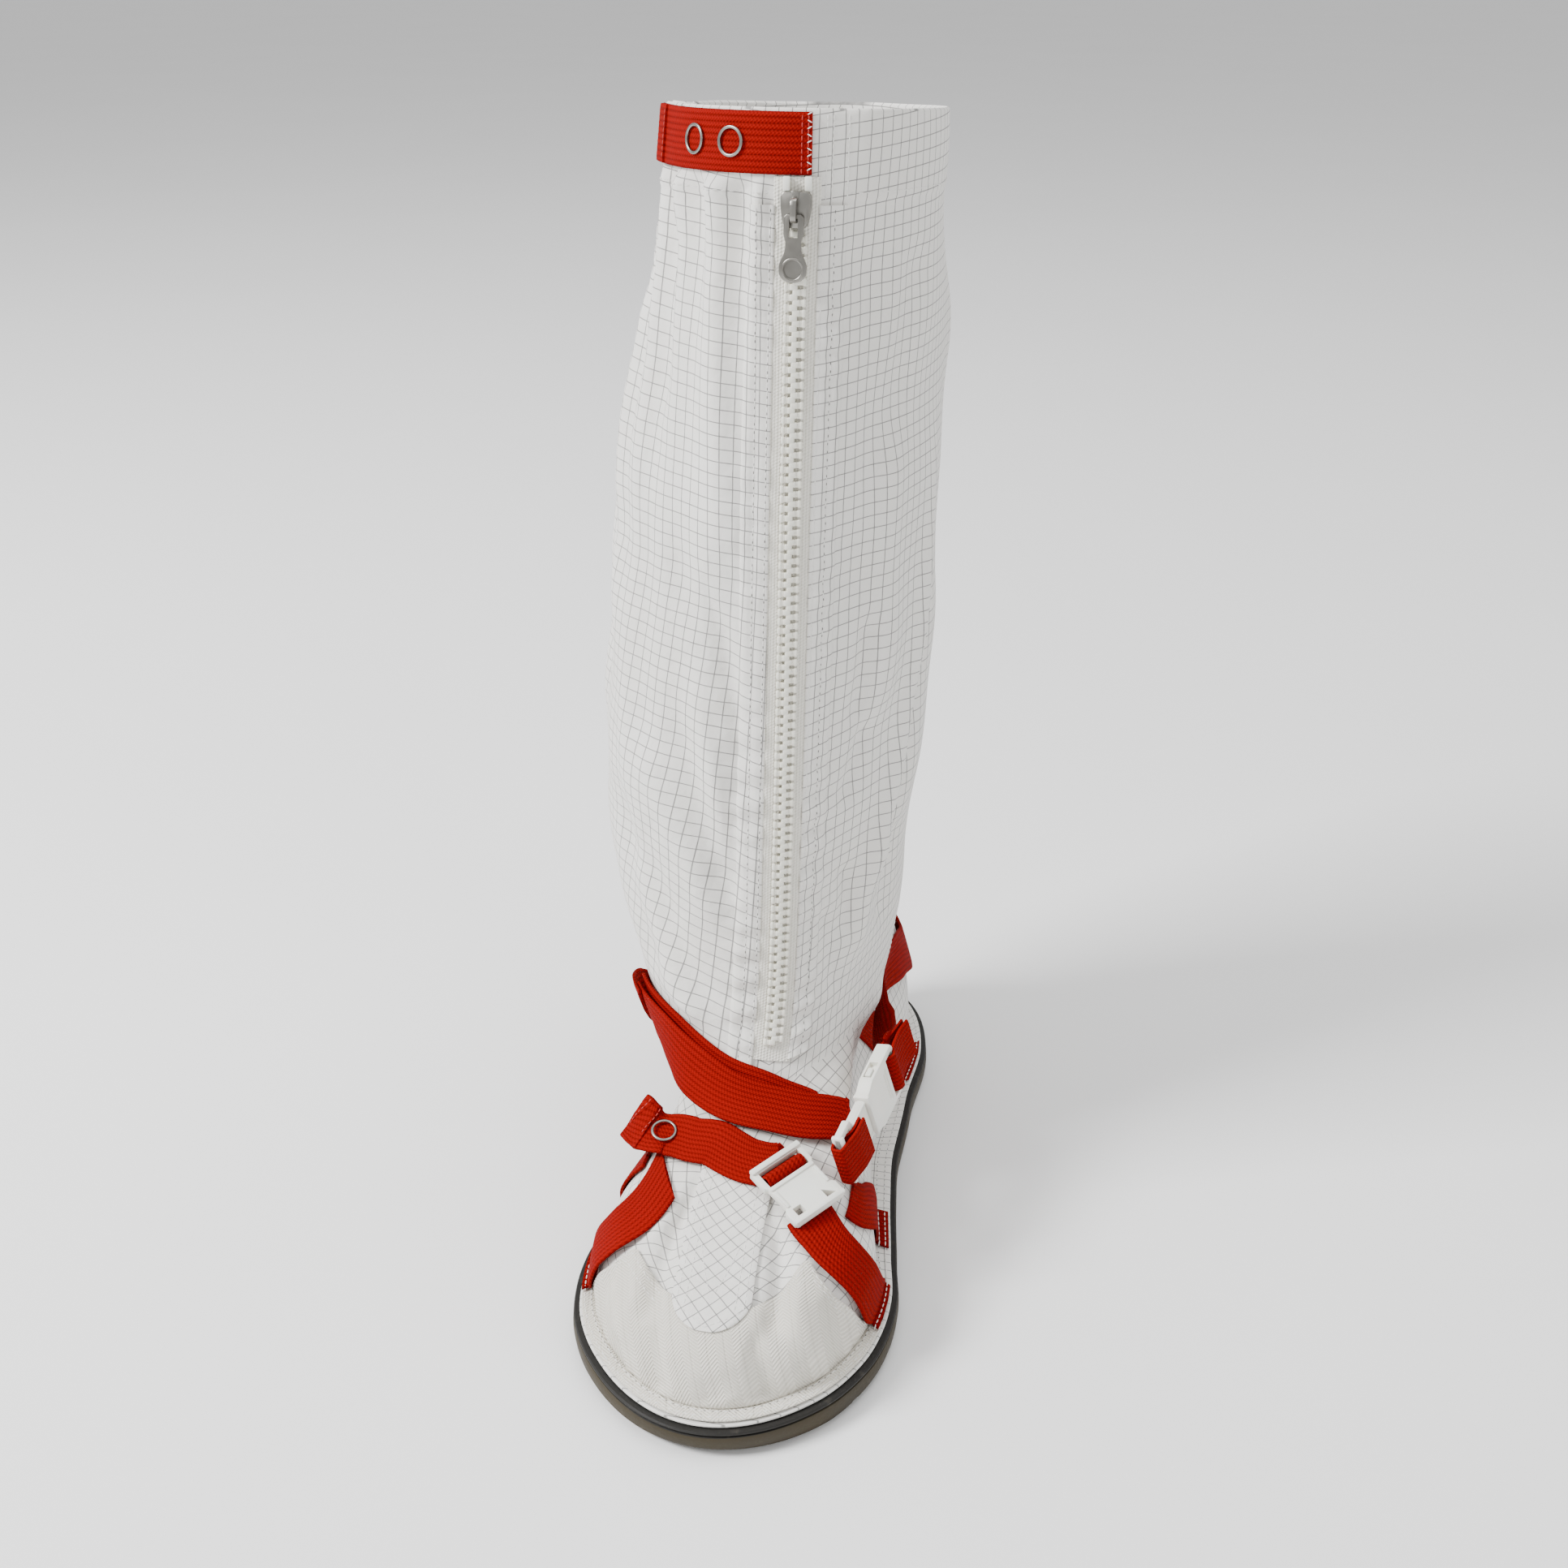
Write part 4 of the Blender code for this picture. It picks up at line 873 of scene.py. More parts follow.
def beside(angle, v, sideways, distance):
    """Angle and row of the points that lie a distance away along the plain form."""
    for _ in range(2):
        around = (form(angle + 0.01, v) - form(angle - 0.01, v)) / 0.02
        upward = (form(angle, v + 0.05) - form(angle, v - 0.05)) / 0.1
        half = sideways * np.asarray(distance / 2)[..., None]
        a = np.sum(around * around, -1)
        b = np.sum(around * upward, -1)
        c = np.sum(upward * upward, -1)
        p = np.sum(around * half, -1)
        q = np.sum(upward * half, -1)
        det = a * c - b * b
        angle = angle + (c * p - b * q) / det
        v = v + (a * q - b * p) / det
    return angle, np.maximum(v, SEAM_EDGE)


def length_along(points):
    return np.concatenate([[0.0], np.cumsum(np.linalg.norm(np.diff(points, axis=0), axis=-1))])


WEB_PROFILE = [(-0.5, 0.45), (-0.485, 0.9), (-0.4, 1.04), (-0.2, 1.0), (0.0, 0.98), (0.2, 1.0), (0.4, 1.04),
               (0.485, 0.9), (0.5, 0.45), (0.485, 0.05), (0.2, 0.0), (-0.2, 0.0), (-0.485, 0.05)]


def ribbon(name, stops, sections, look, slot, width=WEB_WIDTH, thick=WEB_THICK, instead=(), lift=0.0,
           wave=0.0, share=WHOLE, taper=None):
    """Woven band that follows the form with its width square to its route."""
    angle, row, height = route(stops, sections, share)
    height = height + lift
    centres = form(angle, row) + outward(angle, row) * height[:, None]
    ahead = np.gradient(centres, axis=0)
    sideways = unit(np.cross(outward(angle, row), ahead))
    along = length_along(centres)
    widths = np.full(sections, width) if taper is None else width * taper(along)
    columns = []
    cuts = []
    for across, level in WEB_PROFILE + WEB_PROFILE[:1]:
        distance = across * widths
        near_angle, near_row = beside(angle, row, sideways, distance)
        ripple = wave * np.sin(along / 7.0 + 5.0 * across) * np.sin(along / 17.0)
        level_here = height + level * thick + hem(near_row) + ripple
        columns.append(form(near_angle, near_row) + outward(near_angle, near_row) * level_here[:, None])
        cuts.append(np.stack([along, across * widths], -1))
    mesh = fabric_grid(np.stack(columns, 1), np.stack(cuts, 1))
    close_up(mesh)
    return place(name, mesh, look, slot, instead=instead, smooth=60)


def zip_stops(first, last, lift):
    rows = np.linspace(first, last, 12)
    return [(math.degrees(angle), row, lift) for angle, row in zip(angle_at(np.zeros(12), rows), rows)]


ribbon("zip_tape_cloth", zip_stops(ZIP_BOTTOM - 0.2, ZIP_TOP, 0.25), 120, TAPE, "zip_tape", width=16.6,
       thick=0.55, instead=("zip_tape",))
ribbon("collar_web", COLLAR, 60, WEB, "webbing", instead=("collar_strap",))
ribbon("collar_web_hem", COLLAR, 12, WEB, "webbing", lift=WEB_THICK - 0.15, thick=1.0, width=WEB_WIDTH - 0.4,
       share=(0.83, 0.985))
ribbon("ankle_web_over", ANKLE_OVER, 70, WEB, "webbing", instead=("ankle_strap_over",), wave=0.25)
ribbon("ankle_web_under", ANKLE_UNDER, 70, WEB, "webbing", instead=("ankle_strap_under",), wave=0.2)
ribbon("ankle_web_back", ANKLE_BACK, 130, WEB, "webbing", instead=("ankle_strap_back",), wave=0.3)
ribbon("heel_web_loop", HEEL_LOOP, 40, WEB, "webbing", width=16.0, instead=("heel_loop",))
ribbon("instep_web", INSTEP, 70, WEB, "webbing", instead=("instep_strap",))
ribbon("instep_web_hem", INSTEP, 12, WEB, "webbing", lift=WEB_THICK - 0.15, thick=1.0, width=WEB_WIDTH - 0.4,
       share=(0.85, 0.985))
ANKLE_FOLD = [(-51, 8.22, 5.75), (-57, 8.2, 6.3), (-63, 8.05, 5.3), (-69, 7.7, 3.6), (-75, 7.35, 2.9)]
ribbon("ankle_web_fold", ANKLE_FOLD, 24, WEB, "webbing", wave=0.15)


def steady(values):
    """Running mean that keeps the ends."""
    return np.convolve(np.pad(values, 3, mode="edge"), np.ones(7) / 7, mode="valid")


def band_course(stops):
    """A side band row by row: its middle angle, half its width as an angle, its lean and its lift."""
    rows = np.concatenate([np.linspace(stops[0][1], 0.5, 26)[:-1], np.linspace(0.5, SEAM_EDGE, 18)])
    known = [stop[1] for stop in stops[::-1]]
    angle = np.radians(smooth_curve(known, [stop[0] for stop in stops[::-1]])(rows))
    lift = smooth_curve(known, [stop[2] for stop in stops[::-1]])(rows)
    ahead = unit(np.gradient(form(angle, rows), axis=0))
    around = (form(angle + 0.01, rows) - form(angle - 0.01, rows)) / 0.02
    reach = np.linalg.norm(around, axis=-1)
    lean = steady(np.clip(np.sum(ahead * around, -1) / reach, -0.8, 0.8))
    half = steady(WEB_WIDTH / 2 / (np.sqrt(1 - lean ** 2) * reach))
    return rows, angle, half, lean, lift


courses = {band: band_course(stops) for band, stops in BANDS.items()}


def side_band(band):
    """Web from the strap above down to the edge of the flange, cut along that edge."""
    rows, angle, half, lean, lift = courses[band]
    along = length_along(form(angle, rows))
    columns = []
    cuts = []
    for across, level in WEB_PROFILE + WEB_PROFILE[:1]:
        near = angle + 2 * across * half
        height = lift + level * WEB_THICK
        columns.append(form(near, rows) + outward(near, rows) * height[:, None])
        skew = across * WEB_WIDTH * lean / np.sqrt(1 - lean ** 2)
        cuts.append(np.stack([along + skew, np.full(len(rows), across * WEB_WIDTH)], -1))
    mesh = fabric_grid(np.stack(columns, 1), np.stack(cuts, 1))
    close_up(mesh)
    return place(f"{band}_web", mesh, WEB, "webbing", instead=(band,), smooth=60)


for band in BANDS:
    side_band(band)


def rounded_toe(along):
    """The strip's toe end is rounded over its first few millimetres."""
    return np.sqrt(np.clip(1 - (1 - np.clip((along + 0.3) / 13.0, 0, 1)) ** 2, 0.004, 1))


ribbon("vamp_strip_cloth", VAMP_STRIP, 64, BIAS_GRID, "fabric", width=STRIP_WIDTH, thick=0.8,
       instead=("vamp_strip",), taper=rounded_toe)


# Toe cap
def toe_cap():
    turns = np.linspace(CAP_ROWS[0][0], CAP_ROWS[-1][0], 109)
    share = np.linspace(0, 1, 56)[:, None]
    angle = np.radians(turns)[None, :]
    rows = SEAM_EDGE + (cap_top(turns)[None, :] - SEAM_EDGE) * share
    angle, rows = np.broadcast_arrays(angle, rows)
    top = cloth(angle, rows, CAP_LIFT + CAP_THICK)
    bottom = cloth(angle, rows, CAP_LIFT)
    # Round the free edges over
    border = np.minimum(np.minimum(share, 1 - share) * 26, np.minimum(turns + 53, 55 - turns)[None, :] / 1.2)
    edge = 0.3 * (1 - ease(border / 0.6))
    top = top - outward(angle, rows) * edge[..., None]
    across = top[..., 0]
    back = top[..., 1] * 0.95 + top[..., 2] * 0.7
    cut = np.stack([across * 0.966 + back * 0.259, back * 0.966 - across * 0.259], -1)
    skirt = top[:1] * 0.5 + bottom[:1] * 0.5
    head = top[-1:] * 0.5 + bottom[-1:] * 0.5
    points = np.concatenate([skirt, top, head, bottom[::-1], skirt])
    cuts = np.concatenate([cut[:1], cut, cut[-1:], cut[::-1], cut[:1]])
    mesh = fabric_grid(points, cuts)
    close_up(mesh)
    return place("toe_cap_twill", mesh, TWILL, "twill", instead=("toe_cap",), smooth=60)


toe_cap()


# Sole
RIM_ROWS = [(0.0, 2.4), (0.5, 1.75), (1.2, 1.3), (3.0, 1.0), (3.3, 0.3), (5.2, 0.08), (7.0, 0.0),
            (8.6, 0.15), (9.6, 0.5), (9.9, 1.2), (10.5, 1.2), (10.8, 0.4), (11.4, 0.42), (SOLE_THICK, 0.9)]
TREAD_BANDS = [(40.0, 125.0), (232.0, 300.0)]


def tread_blocks():
    """Cross grooves under the forefoot and the heel, and the shallow arch between."""
    spans = [(136.0, 222.0, 1.44)]
    for start, end in TREAD_BANDS:
        spans += [(at - 2.0, at + 2.0, 1.6) for at in np.arange(start, end + 0.1, 13.0)]
    mesh = bmesh.new()
    for start, end, depth in spans:
        block = bmesh.ops.create_cube(mesh, size=1.0)["verts"]
        bmesh.ops.scale(mesh, vec=(180.0, end - start, depth + 5.0), verts=block)
        bmesh.ops.translate(mesh, vec=(0, (start + end) / 2 - HALF_SOLE, (depth - 5.0) / 2), verts=block)
    return place("tread_blocks", mesh, RUBBER, "sole")


def cut_away(made, cutter, operation="DIFFERENCE"):
    """Cut one piece with another, which goes."""
    change = made.modifiers.new("cut", "BOOLEAN")
    change.object = cutter
    change.operation = operation
    change.solver = "EXACT"
    settle(made)
    bpy.data.objects.remove(cutter)
    return made


def outsole():
    angle = np.linspace(-np.pi, np.pi, 241)
    rings = []
    for z, inset in RIM_ROWS:
        ring = sole_edge(angle, inset, z)
        rise = 3.0 * np.maximum(0.0, 1 - (ring[:, 1] + HALF_SOLE) / 34.0) ** 2
        ring[:, 2] += rise * (1 - z / SOLE_THICK)
        rings.append(ring)
    points = np.stack(rings)
    mesh = fabric_grid(points, np.zeros((*points.shape[:2], 2)))
    close_up(mesh)
    caps = [face for face in mesh.faces if len(face.verts) > 4]
    bmesh.ops.triangulate(mesh, faces=caps, quad_method="BEAUTY", ngon_method="BEAUTY")
    made = place("rubber_sole", mesh, RUBBER, "sole", instead=("outsole",), smooth=35)
    return cut_away(made, tread_blocks())


outsole()


# Stitches
def row_frames(points, normals, pitch, start=0.0):
    """Evenly spaced frames along a line of points: origin, along, across and out."""
    lengths = length_along(points)
    at = np.arange(start + pitch / 2, lengths[-1], pitch)
    origin = np.stack([np.interp(at, lengths, points[:, k]) for k in range(3)], -1)
    ahead = np.gradient(points, axis=0)
    along = unit(np.stack([np.interp(at, lengths, ahead[:, k]) for k in range(3)], -1))
    out = unit(np.stack([np.interp(at, lengths, normals[:, k]) for k in range(3)], -1))
    across = unit(np.cross(out, along))
    return origin, along, across, np.cross(along, across)


def scatter(name, template, frames, look):
    """One mesh that holds the template at every frame."""
    base = np.array([vert.co for vert in template.verts])
    faces = [[vert.index for vert in face.verts] for face in template.faces]
    template.free()
    origin, along, across, out = (np.concatenate(part) for part in zip(*frames))
    points = (origin[:, None] + base[None, :, :1] * along[:, None] + base[None, :, 1:2] * across[:, None]
              + base[None, :, 2:] * out[:, None])
    count = len(base)
    joined = [[i + k * count for i in face] for k in range(len(origin)) for face in faces]
    data = bpy.data.meshes.new(name)
    data.from_pydata(((points.reshape(-1, 3) + (BOX_SHIFT, 0, 0)) * MM).tolist(), [], joined)
    return show(name, data, look, smooth=60)


def stitch_shape(length=2.1, width=0.52, height=0.42):
    mesh = bmesh.new()
    bmesh.ops.create_uvsphere(mesh, u_segments=6, v_segments=4, radius=0.5)
    bmesh.ops.rotate(mesh, verts=mesh.verts, cent=(0, 0, 0), matrix=Matrix.Rotation(math.pi / 2, 3, "Y"))
    bmesh.ops.scale(mesh, vec=(length, width, height), verts=mesh.verts)
    mesh.verts.index_update()
    return mesh


def top_lift(angle, v):
    """Height of the topmost layer over the cloth."""
    turn = np.degrees(angle)
    on_cap = (turn > CAP_ROWS[0][0] + 0.5) & (turn < CAP_ROWS[-1][0] - 0.5) & (v < cap_top(turn) - 0.05)
    lift = np.where(on_cap, CAP_LIFT + CAP_THICK, 0.05)
    for rows, middle_angle, half, _, height in courses.values():
        here = [np.interp(v, rows[::-1], values[::-1]) for values in (middle_angle, half, height)]
        covered = np.abs(angle - here[0]) < here[1] * 1.02
        lift = np.where(covered, np.maximum(lift, here[2] + WEB_THICK), lift)
    return lift


def seam(angle, v, lift, pitch=2.9, start=0.0):
    angle, v = np.broadcast_arrays(np.asarray(angle, float), np.asarray(v, float))
    return row_frames(cloth(angle, v, lift), outward(angle, v), pitch, start)


def strap_seam(stops, across, share, lift, pitch=2.6):
    """Stitches over a strap: across is a pair of distances, share a pair of places on its route."""
    count = 30
    angle, row, height = route(stops, count, share)
    later_angle, later_row, _ = route(stops, count, share, ahead=STEP)
    ahead = form(later_angle, later_row) - form(angle, row)
    sideways = unit(np.cross(outward(angle, row), ahead))
    near_angle, near_row = beside(angle, row, sideways, np.linspace(across[0], across[1], count))
    out = outward(near_angle, near_row)
    points = form(near_angle, near_row) + out * (height + lift + hem(near_row))[:, None]
    return row_frames(points, out, pitch)


# Distances of the zip's seams from its middle, and the rows of the flange's seams
ZIP_SEAMS = (9.1, 13.6)
FLANGE_SEAMS = (-0.74, -0.34)


def all_stitches():
    rows = np.linspace(ZIP_BOTTOM - 0.2, 16.25, 260)
    zip_rows = []
    for side in (-1, 1):
        for distance in ZIP_SEAMS:
            angle = angle_at(np.full(rows.shape, side * distance), rows)
            zip_rows.append(seam(angle, rows, facing_lift(distance) + 0.06, 3.0))
    scatter("zip_stitches", stitch_shape(), zip_rows, WHITE_THREAD)
    # Painted shade: dark blobs stand in for the shadow in the needle holes between the stitches
    holes = []
    for side, distance in ((-1, ZIP_SEAMS[1]), (-1, ZIP_SEAMS[0]), (1, ZIP_SEAMS[1])):
        angle = angle_at(np.full(rows.shape, side * distance), rows)
        holes.append(seam(angle, rows, facing_lift(distance) + 0.02, 3.0, start=1.5))
    scatter("zip_painted_hole_shade", stitch_shape(1.2, 0.5, 0.3), holes, PAINTED_HOLE_SHADE)

    around = np.radians(np.linspace(-180, 180, 900))
    flange = []
    for row in FLANGE_SEAMS:
        v = np.full(around.shape, row)
        flange.append(seam(around, v, top_lift(around, v) + 0.05, 3.1))
    scatter("flange_stitches", stitch_shape(2.3), flange, WHITE_THREAD)
    # Painted shade: dark blobs for the shadow in the needle holes between the flange stitches
    v = np.full(around.shape, FLANGE_SEAMS[1])
    flange_hole_shade = [seam(around, v, top_lift(around, v) + 0.02, 3.1, start=1.55)]
    scatter("flange_painted_hole_shade", stitch_shape(0.9, 0.45, 0.3), flange_hole_shade, PAINTED_HOLE_SHADE)

    collar = []
    for low, high in ((-180, 14.0), (29, 180)):
        ring = np.radians(np.linspace(low, high, 500))
        collar.append(seam(ring, np.full(ring.shape, HEM_ROW + 0.07), 0.05, 3.1))
    for distance in (10.0, 12.2, 18.0):
        v = np.linspace(HEM_ROW + 0.02, 16.95, 40)
        collar.append(seam(angle_at(np.full(v.shape, distance), v), v, 0.08, 2.4))
    scatter("collar_stitches", stitch_shape(), collar, WHITE_THREAD)

    halves = []
    for low, high in ((66, 180), (-180, -60)):
        ring = np.radians(np.linspace(low, high, 200))
        halves.append(seam(ring, np.full(ring.shape, SHAFT_ROW + 0.02), 0.05, 3.2))
    scatter("ankle_seam_stitches", stitch_shape(), halves, WHITE_THREAD)

    cap = []
    for inset in (0.16, 0.42):
        for low, high in ((-51, -21), (21, 53)):
            turns = np.linspace(low, high, 160)
            cap.append(seam(np.radians(turns), cap_top(turns) - inset, CAP_LIFT + CAP_THICK + 0.04, 2.7))
    scatter("cap_stitches", stitch_shape(1.9), cap, WHITE_THREAD)

    strip = []
    for side in (-1, 1):
        for distance in (12.6, 9.4):
            strip.append(strap_seam(VAMP_STRIP, (side * distance, side * distance), (0.2, 1.0), 0.84, 2.8))
        strip.append(strap_seam(VAMP_STRIP, (side * 12.0, 0.0), (0.19, 0.04), 0.84, 2.6))
        strip.append(strap_seam(VAMP_STRIP, (side * 7.5, side * 1.0), (0.62, 0.34), 0.84, 2.6))
    scatter("strip_stitches", stitch_shape(1.9), strip, WHITE_THREAD)

    red = []
    for stops, end in ((COLLAR, 0.84), (COLLAR, 0.97), (INSTEP, 0.86), (INSTEP, 0.97)):
        red.append(strap_seam(stops, (-9.0, 9.0), (end, end + 0.001), WEB_THICK + 0.9, 2.2))
    for end in (0.015, 0.04):
        red.append(strap_seam(COLLAR, (-9.5, 9.5), (end, end + 0.001), WEB_THICK + 0.02, 2.2))
    for side in (-1, 1):
        red.append(strap_seam(HEEL_LOOP, (side * 6.5, side * 6.5), (0.02, 0.13), WEB_THICK, 2.2))
        red.append(strap_seam(HEEL_LOOP, (side * 6.5, side * 6.5), (0.87, 0.98), WEB_THICK, 2.2))
    scatter("strap_stitches", stitch_shape(1.7), red, RED_THREAD)

    tacks = []
    for k in range(9):
        shift = (9.2 - k * 2.3, 8.0 - k * 2.3) if k % 2 else (8.0 - k * 2.3, 9.2 - k * 2.3)
        tacks.append(strap_seam(COLLAR, shift, (0.002, 0.026), WEB_THICK + 0.05, 1.9))
    scatter("strap_tacks", stitch_shape(1.9, 0.45, 0.4), tacks, WHITE_THREAD)


all_stitches()


# Zip teeth
def zip_frames(distance, pitch, start, lift, last=16.09):
    rows = np.linspace(ZIP_BOTTOM, last, 400)
    angle = angle_at(np.full(rows.shape, distance), rows)
    return row_frames(form(angle, rows) + outward(angle, rows) * lift, outward(angle, rows), pitch, start)


def tooth_shape(side):
    """One moulded tooth: a rounded head past the middle, a waist, and a foot on the tape."""
    mesh = bmesh.new()
    for length, width, height, across, up in ((2.3, 2.9, 2.0, 0.55, 1.0), (2.3, 1.5, 1.7, 2.3, 0.85),
                                              (2.8, 1.5, 1.8, 3.3, 0.9)):
        block = bmesh.ops.create_cube(mesh, size=1.0)["verts"]
        bmesh.ops.scale(mesh, vec=(length, width, height), verts=block)
        bmesh.ops.translate(mesh, vec=(0, side * across, up), verts=block)
        edges = list({edge for vert in block for edge in vert.link_edges})
        bmesh.ops.bevel(mesh, geom=edges, offset=0.5, offset_type="OFFSET", segments=2, profile=0.5,
                        affect="EDGES", material=-1)
    mesh.verts.index_update()
    return mesh


# Along a tooth's frame the first axis runs up the zip, so its width lies across
TOOTH_PITCH = 3.65
inner_teeth = zip_frames(0.0, TOOTH_PITCH, 0.0, 1.0)
outer_teeth = zip_frames(0.0, TOOTH_PITCH, TOOTH_PITCH / 2, 1.0)
scatter("zip_teeth_outer", tooth_shape(1), [inner_teeth], TOOTH)
teeth = scatter("zip_teeth_inner", tooth_shape(-1), [outer_teeth], TOOTH)
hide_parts("zip_chain")


# Frames of the metal and plastic pieces, as in the part
def vector(values):
    return Vector([float(x) for x in values])


def point_at(turn, v, lift=0.0):
    angle = np.array([math.radians(turn)])
    row = np.array([float(v)])
    height = lift + float(hem(row)[0])
    return vector((form(angle, row) + wall_normal(angle, np.clip(row, 0, LAST_ROW)) * height)[0])


def normal_at(turn, v):
    return vector(outward(np.array([math.radians(turn)]), np.array([float(v)]))[0])


def local_frame(turn, v, lift, ahead):
    out = normal_at(turn, v)
    along = (ahead - out * ahead.dot(out)).normalized()
    made = Matrix((along, out.cross(along), out)).transposed().to_4x4()
    made.translation = point_at(turn, v, lift)
    return made


def free_frame(centre, ahead, out):
    along = ahead.normalized()
    normal = (out - along * out.dot(along)).normalized()
    made = Matrix((along, normal.cross(along), normal)).transposed().to_4x4()
    made.translation = centre
    return made


def strap_frame(stops, turn, seat):
    """On a strap's outer face: X runs along the strap, Y across it and Z outwards."""
    angle, row, lift = route(stops, 200)
    i = int(np.argmin(np.abs(np.degrees(angle) - turn)[1:199])) + 1
    ends = [point_at(math.degrees(angle[k]), row[k], lift[k]) for k in (i - 1, i + 1)]
    along = (ends[1] - ends[0]).normalized()
    across = normal_at(math.degrees(angle[i]), row[i]).cross(along).normalized()
    out = along.cross(across)
    made = Matrix((along, across, out)).transposed().to_4x4()
    made.translation = point_at(math.degrees(angle[i]), row[i], lift[i]) + out * (WEB_THICK + seat)
    return made


def square_across_x(frame):
    """The same frame turned so that Y lies along the world's X, as the hinge does."""
    out = frame.col[2].to_3d()
    flat_out = Vector((0, out.y, out.z)).normalized()
    up = flat_out.cross(Vector((-1, 0, 0))).normalized()
    if up.z < 0:
        up = -up
    made = Matrix((up, flat_out.cross(up), flat_out)).transposed().to_4x4()
    made.translation = frame.translation
    return made


# Metal and plastic pieces
def mirrored(half):
    return half + [(x, -y) for x, y in reversed(half)]


def plate(outline, low, high, bevel, segments=2):
    """Solid plate over a flat outline, with its edges rounded."""
    mesh = bmesh.new()
    corners = [mesh.verts.new((x, y, low)) for x, y in outline]
    face = mesh.faces.new(corners)
    raised = bmesh.ops.extrude_face_region(mesh, geom=[face])["geom"]
    verts = [item for item in raised if isinstance(item, bmesh.types.BMVert)]
    bmesh.ops.translate(mesh, vec=(0, 0, high - low), verts=verts)
    bmesh.ops.recalc_face_normals(mesh, faces=mesh.faces)
    if bevel:
        bmesh.ops.bevel(mesh, geom=list(mesh.edges), offset=bevel, offset_type="OFFSET", segments=segments,
                        profile=0.5, affect="EDGES", clamp_overlap=True, material=-1)
    return mesh


def block(x0, y0, x1, y1, low, high, bevel):
    return plate([(x0, y0), (x1, y0), (x1, y1), (x0, y1)], low, high, bevel)


HARD_EDGE = 38


def framed(mesh, frame, name, look, slot, body="boot", instead=()):
    bmesh.ops.transform(mesh, matrix=frame, verts=mesh.verts)
    return place(name, mesh, look, slot, body=body, instead=instead, smooth=HARD_EDGE)


def join_meshes(parts):
    """Several bmeshes as one."""
    joined = bmesh.new()
    for part in parts:
        data = bpy.data.meshes.new("part")
        part.to_mesh(data)
        part.free()
        joined.from_mesh(data)
        bpy.data.meshes.remove(data)
    return joined


def drilled(name, body_mesh, holes, frame, look, slot, extras, body="boot", instead=()):
    """A plate with holes cut through it, and small parts laid on it."""
    made = framed(body_mesh, frame, name, look, slot, body, instead)
    for hole in holes:
        made = cut_away(made, framed(hole, frame, "hole", look, slot))
    laid_on = join_meshes(extras)
    bmesh.ops.transform(laid_on, matrix=frame, verts=laid_on.verts)
    small = to_scene("laid_on", laid_on)
    mesh = bmesh.new()
    mesh.from_mesh(made.data)
    mesh.from_mesh(small)
    bpy.data.meshes.remove(small)
    mesh.to_mesh(made.data)
    mesh.free()
    made.data.shade_smooth()
    made.data.set_sharp_from_angle(angle=math.radians(HARD_EDGE))
    return made


SLIDER_ROW = 16.25
SLIDER_FACE = 3.4
PIN_OUT = 1.5
PIN_ALONG = -2.1
slider_turn = math.degrees(float(angle_at(np.zeros(1), np.array([SLIDER_ROW]))[0]))
SLIDER_FRAME = square_across_x(local_frame(slider_turn, SLIDER_ROW, 2.2, Vector((0, 0, 1))))


def bridge_shape():
    """Arched loop on the slider's face that carries the pull."""
    mesh = bmesh.new()
    outline = [(-4.4, -0.2), (-4.3, 2.6), (-3.4, 3.7), (-2.0, 4.0), (1.8, 4.0), (3.3, 3.6), (4.2, 2.4),
               (4.2, -0.2), (3.1, -0.2), (3.0, 2.0), (2.2, 2.8), (-2.2, 2.9), (-3.1, 2.3), (-3.2, -0.2)]
    corners = [mesh.verts.new((x, -1.1, SLIDER_FACE + z)) for x, z in outline]
    face = mesh.faces.new(corners)
    raised = bmesh.ops.extrude_face_region(mesh, geom=[face])["geom"]
    verts = [item for item in raised if isinstance(item, bmesh.types.BMVert)]
    bmesh.ops.translate(mesh, vec=(0, 2.2, 0), verts=verts)
    bmesh.ops.recalc_face_normals(mesh, faces=mesh.faces)
    bmesh.ops.bevel(mesh, geom=list(mesh.edges), offset=0.28, offset_type="OFFSET", segments=2, profile=0.5,
                    affect="EDGES", clamp_overlap=True, material=-1)
    return mesh


def slider():
    outline = mirrored([(6.2, 2.2), (6.0, 4.6), (4.6, 5.5), (1.0, 5.4), (-2.4, 4.9), (-5.2, 4.2),
                        (-6.2, 3.0)])
    inner = mirrored([(5.2, 2.0), (4.8, 4.0), (0.6, 4.6), (-4.6, 3.4), (-5.2, 2.2)])
    parts = [plate(outline, 1.7, SLIDER_FACE, 0.45), plate(outline, -0.2, 0.9, 0.35),
             plate(inner, 0.5, 2.0, 0.2),
             plate([(6.4, -1.5), (6.4, 1.5), (3.6, 1.1), (3.6, -1.1)], 0.0, SLIDER_FACE + 0.3, 0.3),
             bridge_shape()]
    framed(join_meshes(parts), SLIDER_FRAME, "nickel_slider", NICKEL, "nickel", instead=("zip_slider",))


slider()

PULL_ROWS = [(-0.75, 2.6), (-0.6, 3.3), (0.6, 3.6), (6.2, 3.6), (7.6, 3.15), (8.8, 2.85), (11.5, 3.0),
             (13.2, 3.6), (14.8, 4.4), (17.0, 5.05), (19.2, 5.0), (21.0, 4.1), (22.1, 2.7), (22.6, 1.0)]


def round_shape(radius, low, high, centre_x, steps=28):
    mesh = bmesh.new()
    made = bmesh.ops.create_circle(mesh, cap_ends=True, segments=steps, radius=radius)
    bmesh.ops.translate(mesh, vec=(centre_x, 0, low), verts=made["verts"])
    raised = bmesh.ops.extrude_face_region(mesh, geom=list(mesh.faces))["geom"]
    verts = [item for item in raised if isinstance(item, bmesh.types.BMVert)]
    bmesh.ops.translate(mesh, vec=(0, 0, high - low), verts=verts)
    bmesh.ops.recalc_face_normals(mesh, faces=mesh.faces)
    return mesh


